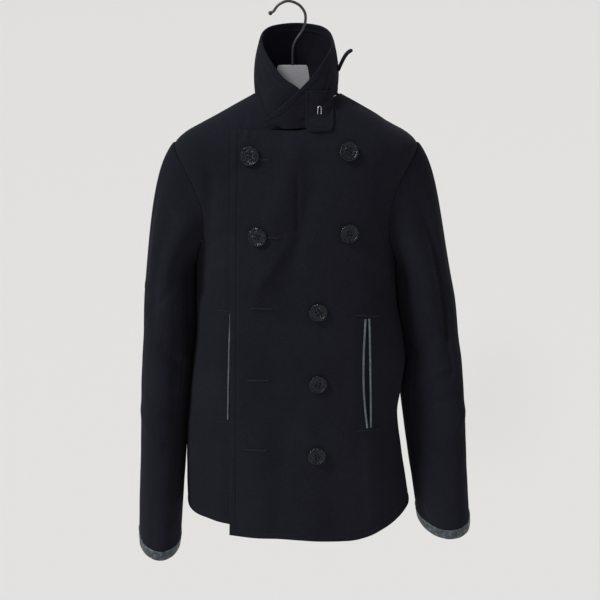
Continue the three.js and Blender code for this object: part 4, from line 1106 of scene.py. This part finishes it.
# Pockets. Each upright mouth is finished with two narrow jets of teal-grey leather, and closed at both
# ends by a level row of close bar stitches. The mouth between the jets hangs a little slack.
JET_WIDTH, JET_RISE = 3.0, 2.0
JET_SKIN = 0.5
JET_CLEAR = 0.4
JET_DARK, JET_MID, JET_RUBBED = (0.05, 0.062, 0.072), (0.085, 0.10, 0.112), (0.17, 0.19, 0.21)
jet_leather = leather_finish("jet_leather", JET_DARK, JET_MID, JET_RUBBED)
BAR_LENGTH = 36
BAR_SHOWS_FROM = -98


def on_front(x, z, lift):
    return body_at(front_angle(x, z), z, lift)


def leather_jet(rows, column, base_lift):
    heights = [row[0] for row in rows]
    z = np.linspace(heights[-1], heights[0], 120)
    centre = smooth_through(heights, [row[column] for row in rows])(z)
    swing = np.linspace(-0.3 * HALF_TURN, 1.3 * HALF_TURN, 15)
    x = centre[:, None] + JET_WIDTH / 2 * np.cos(swing)
    ripple = 1 + 0.06 * np.sin(z / 2.3) + 0.05 * np.sin(z / 7.1)
    above_cloth = swing * (HALF_TURN - swing) > 0
    round_up = np.where(above_cloth, JET_RISE * np.abs(np.sin(swing)) ** 0.8, JET_CLEAR * np.sin(swing))
    face = on_front(x, z[:, None] + 0 * x, base_lift + JET_CLEAR + round_up * ripple[:, None])
    return wall_of_cloth(face, JET_SKIN, (1, 0.3, 1, 0.3), turned=-1)


JETS = (
    # name, pocket, column of its table, lift of the cloth under it
    ("jet_left_inner", POCKET_LEFT, 1, OVERLAP_LIFT),
    ("jet_left_outer", POCKET_LEFT, 2, OVERLAP_LIFT),
    ("jet_right_inner", POCKET_RIGHT, 1, 0),
    ("jet_right_outer", POCKET_RIGHT, 2, 0),
)
for name, rows, column, base_lift in JETS:
    jet = make_piece(f"{name}_leather", [leather_jet(rows, column, base_lift)], jet_leather)
    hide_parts(name)

BARS = (
    # x of its middle, z, fall towards the side seam, lift
    (105, -455, 7, OVERLAP_LIFT), (112, -645, 4, OVERLAP_LIFT), (-102, -449, 3, 0), (-108, -631, 3, 0),
)
bars = []
for middle_x, bar_z, fall, base_lift in BARS:
    line_x = np.linspace(middle_x - BAR_LENGTH / 2, middle_x + BAR_LENGTH / 2, 40)
    if base_lift == 0:
        line_x = line_x[line_x < BAR_SHOWS_FROM]
    line_z = bar_z - fall * (np.abs(line_x) - abs(middle_x)) / BAR_LENGTH
    line = on_front(line_x, line_z, base_lift + 0.55)
    out = np.tile(np.array([[0.0, -1.0, 0.0]]), (len(line), 1))
    bars.append(stitch_row(line, out, pitch=1.5, length=1.9, radius=0.55))
bar_stitches = make_piece("pocket_bar_stitches", bars, navy_thread)

# Buttonholes. Keyhole buttonholes 34 mm long, worked round in close navy twist, with the eye at the
# end towards the centre. Three are empty and two are under the fastened buttons.
HOLE_LENGTH = 34
HOLE_HALF = 1.1
EYE_RADIUS = 2.1
TWIST_RADIUS = 0.55
BUTTONHOLES = (
    # x of its outer end, z, fall along its length
    (-68, -439, -1), (-75, -556.5, 1), (-79, -672.5, 0), (-71, -212, -6), (-56, -328.5, -1),
)
hole_twist = thread_finish("hole_twist", (0.017, 0.018, 0.025))
# Each slit is a thin dark sheet laid over the buttonhole's opening and the upper half of its twist: painted
# shade inside the cut and on the upper twist, black flecked with deep navy.
SLIT_PAINTED_SHADE = (0.002, 0.002, 0.003)
slit_painted_shade, slit_tree, slit_shader = new_finish("slit_painted_shade")
slit_lint = object_noise(slit_tree, 800, 2)
slit_shade_colour = ramp(slit_tree, slit_lint, 0.4, 0.6, SLIT_PAINTED_SHADE, NAVY_DEEP)
slit_tree.links.new(slit_shade_colour, slit_shader.inputs["Base Color"])
slit_shader.inputs["Roughness"].default_value = 0.95
twists, slits = [], []
for start_x, hole_z, fall in BUTTONHOLES:
    stop_x = start_x + HOLE_LENGTH - EYE_RADIUS
    outline = [(start_x, 0), (start_x + 2, HOLE_HALF), (stop_x - 8, HOLE_HALF), (stop_x - 3, HOLE_HALF * 1.2)]
    outline += [(stop_x + EYE_RADIUS * math.cos(a), EYE_RADIUS * math.sin(a))
                for a in np.radians((125, 90, 45, 0, -45, -90, -125))]
    outline += [(stop_x - 3, -HOLE_HALF * 1.2), (stop_x - 8, -HOLE_HALF)]
    outline += [(start_x + 2, -HOLE_HALF), (start_x, 0)]
    flat_line = smooth_path(outline, 260)
    fallen = hole_z + flat_line[:, 1] + fall * (flat_line[:, 0] - start_x) / HOLE_LENGTH
    line = on_front(flat_line[:, 0], fallen, OVERLAP_LIFT + 0.5)
    purl = TWIST_RADIUS * (1 + 0.16 * np.sin(np.arange(len(line)) * 1.9))
    twists.append(tube_along(line, purl, 8))
    # The slit sheet, raised 0.7 mm and standing in front of the upper twist, paints the shade of the opening.
    slit_x = np.linspace(start_x + 1, stop_x, 24)
    slit_t = np.array([-1, 0, 1])
    slit_grid = on_front(slit_x[:, None] + 0 * slit_t,
                         hole_z + 0.7 + 0.9 * slit_t + fall * (slit_x[:, None] - start_x) / HOLE_LENGTH,
                         OVERLAP_LIFT + 1.15)
    slits.append(wall_of_cloth(slit_grid, 0.3, (0, 0, 0, 0), turned=1))
twist_piece = make_piece("buttonhole_twist", twists, hole_twist)
slit_piece = make_piece("buttonhole_slits_painted_shade", slits, slit_painted_shade)

# Buttons. Seven black moulded coat buttons, 28.4 mm across, with a raised rim, a sunk face and four holes
# sewn through with black thread. Six of them carry the usual small anchor in low relief.
HOLE_RADIUS, HOLE_SPACING = 1.15, 2.7
FACE_HEIGHT = 2.9
BUTTON_SEAT = 0.65
BUTTON_SIDES = 64
WELD_REACH = 1e-6
BUTTONS = (
    # name, x, z, turn in degrees, relief
    ("button_1_right", -66, -211, 8, True), ("button_2_right", -55.5, -328, 20, False),
    ("button_1_left", 75, -205, -14, True), ("button_2_left", 76.5, -324, 6, True),
    ("button_3_left", 32.5, -444, -38, True), ("button_4_left", 33, -560.5, 16, True),
    ("button_5_left", 31.5, -680, -20, True),
)
button_black, tree, shader = new_finish("button_black")
cloud = object_noise(tree, 300, 1, 0.5)
scratch = object_noise(tree, 900, 3, 0.6, (1, 1, 0.2))
tree.links.new(ramp(tree, cloud, 0.3, 0.75, (0.003, 0.0034, 0.005), (0.010, 0.011, 0.015)),
               shader.inputs["Base Color"])
tree.links.new(ramp(tree, scratch, 0.3, 0.8, (0.10, 0.10, 0.10), (0.22, 0.22, 0.22)),
               shader.inputs["Roughness"])
shader.inputs["Specular IOR Level"].default_value = 0.3
shader.inputs["Specular Tint"].default_value = (0.80, 0.86, 1.0, 1)
add_bump(tree, shader, ((cloud, 0.0024, 0.8), (scratch, 0.0002, 0.2)))

BUTTON_PROFILE = (
    # distance from the middle and height above the back
    (0, 0), (10.6, 0), (12.4, 0.5), (13.6, 1.2), (14.1, 2.0), (14.2, 2.8), (13.9, 3.6), (13.3, 4.15),
    (12.6, 4.4), (11.9, 4.25), (11.3, 3.8), (10.9, 3.2), (10.3, 2.95), (8, 2.9), (5, 2.85), (0, 2.8),
)


def turned_disc(profile, sides):
    turns = 2 * math.pi * np.arange(sides) / sides
    points = [np.stack([radius * np.cos(turns), -rise + 0 * turns, radius * np.sin(turns)], axis=1)
              for radius, rise in profile]
    return np.concatenate(points), ring_faces(len(profile), sides)


def anchor_relief():
    """A plain anchor: ring, stock, shank and two arms with flukes, on the button's face."""
    lift = -FACE_HEIGHT - 0.1
    parts = []
    turns = np.linspace(0, 2 * math.pi, 25)
    parts.append(tube_along([(1.3 * math.cos(a), lift, 7.6 + 1.3 * math.sin(a)) for a in turns], 0.42, 8))
    parts.append(tube_along([(-3.6, lift, 5.2), (-1.2, lift, 5.5), (1.2, lift, 5.5), (3.6, lift, 5.2)],
                            (0.45, 0.6, 0.6, 0.45), 8))
    parts.append(tube_along([(0, lift, 6.6), (0, lift, 0), (0, lift, -7.4)], (0.5, 0.62, 0.75), 8))
    arm = np.radians(np.linspace(-156, -24, 17))
    parts.append(tube_along(np.stack([6.2 * np.cos(arm), lift + 0 * arm, -1.4 + 6.2 * np.sin(arm)], axis=1),
                            np.interp(np.linspace(-1, 1, 17), (-1, 0, 1), (0.45, 0.85, 0.45)), 8))
    for side in (-1, 1):
        parts.append(tube_along([(side * 3.9, lift, -3.4), (side * 5.4, lift, -3.1), (side * 6.6, lift, -1.4),
                                 (side * 6.9, lift, -0.2)], (0.3, 0.75, 0.6, 0.15), 8))
    return parts


def sewn_threads(crossed):
    rise = -FACE_HEIGHT - 0.25
    low = -FACE_HEIGHT + 1.2
    s = HOLE_SPACING
    if crossed:
        pairs = [((-s, -s), (s, s)), ((-s, s), (s, -s))]
    else:
        pairs = [((-s, -s), (-s, s)), ((s, -s), (s, s))]
    parts = []
    for index, ((x1, z1), (x2, z2)) in enumerate(pairs):
        for shift in (-0.35, 0.35):
            lift = rise - 0.35 * index * crossed
            path = [(x1 + shift, low, z1), (x1 + shift + (x2 - x1) * 0.16, lift, z1 + (z2 - z1) * 0.16),
                    (x2 + shift - (x2 - x1) * 0.16, lift, z2 - (z2 - z1) * 0.16), (x2 + shift, low, z2)]
            parts.append(tube_along(smooth_path(path, 14), 0.34, 6))
    return parts


def place_parts(parts, seat, out, turn):
    """Turns parts that face -Y and sets them on the cloth, facing out."""
    facing = Vector((0, -1, 0)).rotation_difference(Vector(out)).to_matrix()
    spin = np.array(((math.cos(turn), 0, math.sin(turn)), (0, 1, 0), (-math.sin(turn), 0, math.cos(turn))))
    matrix = np.array(facing) @ spin
    return [(np.asarray(points) @ matrix.T + seat, faces) for points, faces in parts]


def weld(mesh):
    """Joins the points of a button that lie on each other."""
    work = bmesh.new()
    work.from_mesh(mesh)
    bmesh.ops.remove_doubles(work, verts=work.verts, dist=WELD_REACH)
    bmesh.ops.recalc_face_normals(work, faces=work.faces)
    work.to_mesh(mesh)
    work.free()


def drilled(piece, seat, out, turn):
    """Cuts the four thread holes."""
    drills = []
    for along in (-1, 1):
        for up in (-1, 1):
            path = [(along * HOLE_SPACING, -y, up * HOLE_SPACING) for y in (-3, 2, 8)]
            drills.append(tube_along(path, HOLE_RADIUS, 16))
    drill = make_piece("drill", place_parts(drills, seat, out, turn), button_black)
    cut = piece.modifiers.new("holes", "BOOLEAN")
    cut.operation = "DIFFERENCE"
    cut.solver = "EXACT"
    cut.object = drill
    depsgraph = bpy.context.evaluated_depsgraph_get()
    mesh = bpy.data.meshes.new_from_object(piece.evaluated_get(depsgraph))
    piece.modifiers.clear()
    piece.data = mesh
    bpy.data.objects.remove(drill)
    weld(mesh)


button_thread = thread_finish("button_thread", (0.012, 0.012, 0.016))
for name, x, z, degrees, relief in BUTTONS:
    x, z, turn = np.array(x, float), np.array(z, float), math.radians(degrees)
    seat = on_front(x, z, OVERLAP_LIFT)
    right_of = on_front(x + 4, z, OVERLAP_LIFT) - on_front(x - 4, z, OVERLAP_LIFT)
    above = on_front(x, z + 4, OVERLAP_LIFT) - on_front(x, z - 4, OVERLAP_LIFT)
    out = unit(np.cross(right_of, above))
    seat = seat + out * BUTTON_SEAT
    rounds = [turned_disc(BUTTON_PROFILE, BUTTON_SIDES)]
    disc = make_piece(f"{name}_moulded", place_parts(rounds, seat, out, turn), button_black)
    weld(disc.data)
    drilled(disc, seat, out, turn)
    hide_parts(name)
    if relief:
        anchor = make_piece(f"{name}_anchor", place_parts(anchor_relief(), seat, out, turn), button_black)
    sewn = place_parts(sewn_threads(not relief), seat, out, turn)
    threads = make_piece(f"{name}_thread", sewn, button_thread)

# Hanger. A moulded grey hanger: a flat upright block in the neck, and arms that carry the coat under
# its shoulders. Its plain solid is exact, so that solid is kept and only given its finish here.
hanger_grey, tree, shader = new_finish("hanger_grey")
speckle = object_noise(tree, 520, 3)
clouding = object_noise(tree, 26, 3)
clouded = ramp(tree, clouding, 0.3, 0.7, (0.33, 0.325, 0.35), (0.42, 0.415, 0.44))
speckled = ramp(tree, speckle, 0.3, 0.7, (0.31, 0.305, 0.33), (0.45, 0.445, 0.47))
tree.links.new(blend_colours(tree, 0.5, clouded, speckled), shader.inputs["Base Color"])
shader.inputs["Roughness"].default_value = 0.55
add_bump(tree, shader, ((speckle, 0.0004, 0.25),))
hanger = bpy.data.objects["hanger"]
hanger.data.materials.clear()
hanger.data.materials.append(hanger_grey)

# Hanger's hook. A gunmetal wire 4 mm thick, bent to a round hook that ends in a small ball, and set
# into the top of the hanger's block.
HOOK_PATH = (
    # x and z of the wire's middle, from its ball to the block
    (-26, -15), (-21.5, -12.5), (-14, -3.5), (0, 2), (15.5, -3), (24.5, -14), (25.5, -27), (21, -40),
    (12.5, -52), (7.6, -62), (6.5, -74), (6.5, -90), (6.5, -112),
)
WIRE_RADIUS, BALL_RADIUS = 2.0, 3.1
gunmetal = metal_finish("gunmetal_wire", (0.055, 0.05, 0.056), 0.34, 0.85)
hook_line = smooth_path([(x, 0, z) for x, z in HOOK_PATH], 150)
ball_steps = np.linspace(0.02, math.pi - 0.02, 14)
ball = tube_along([(HOOK_PATH[0][0] - BALL_RADIUS * math.cos(a), 0, HOOK_PATH[0][1]) for a in ball_steps],
                  BALL_RADIUS * np.sin(ball_steps), 20)
hook = make_piece("hanger_hook_wire", [tube_along(hook_line, WIRE_RADIUS, 16), ball], gunmetal)
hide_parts("hanger_hook")
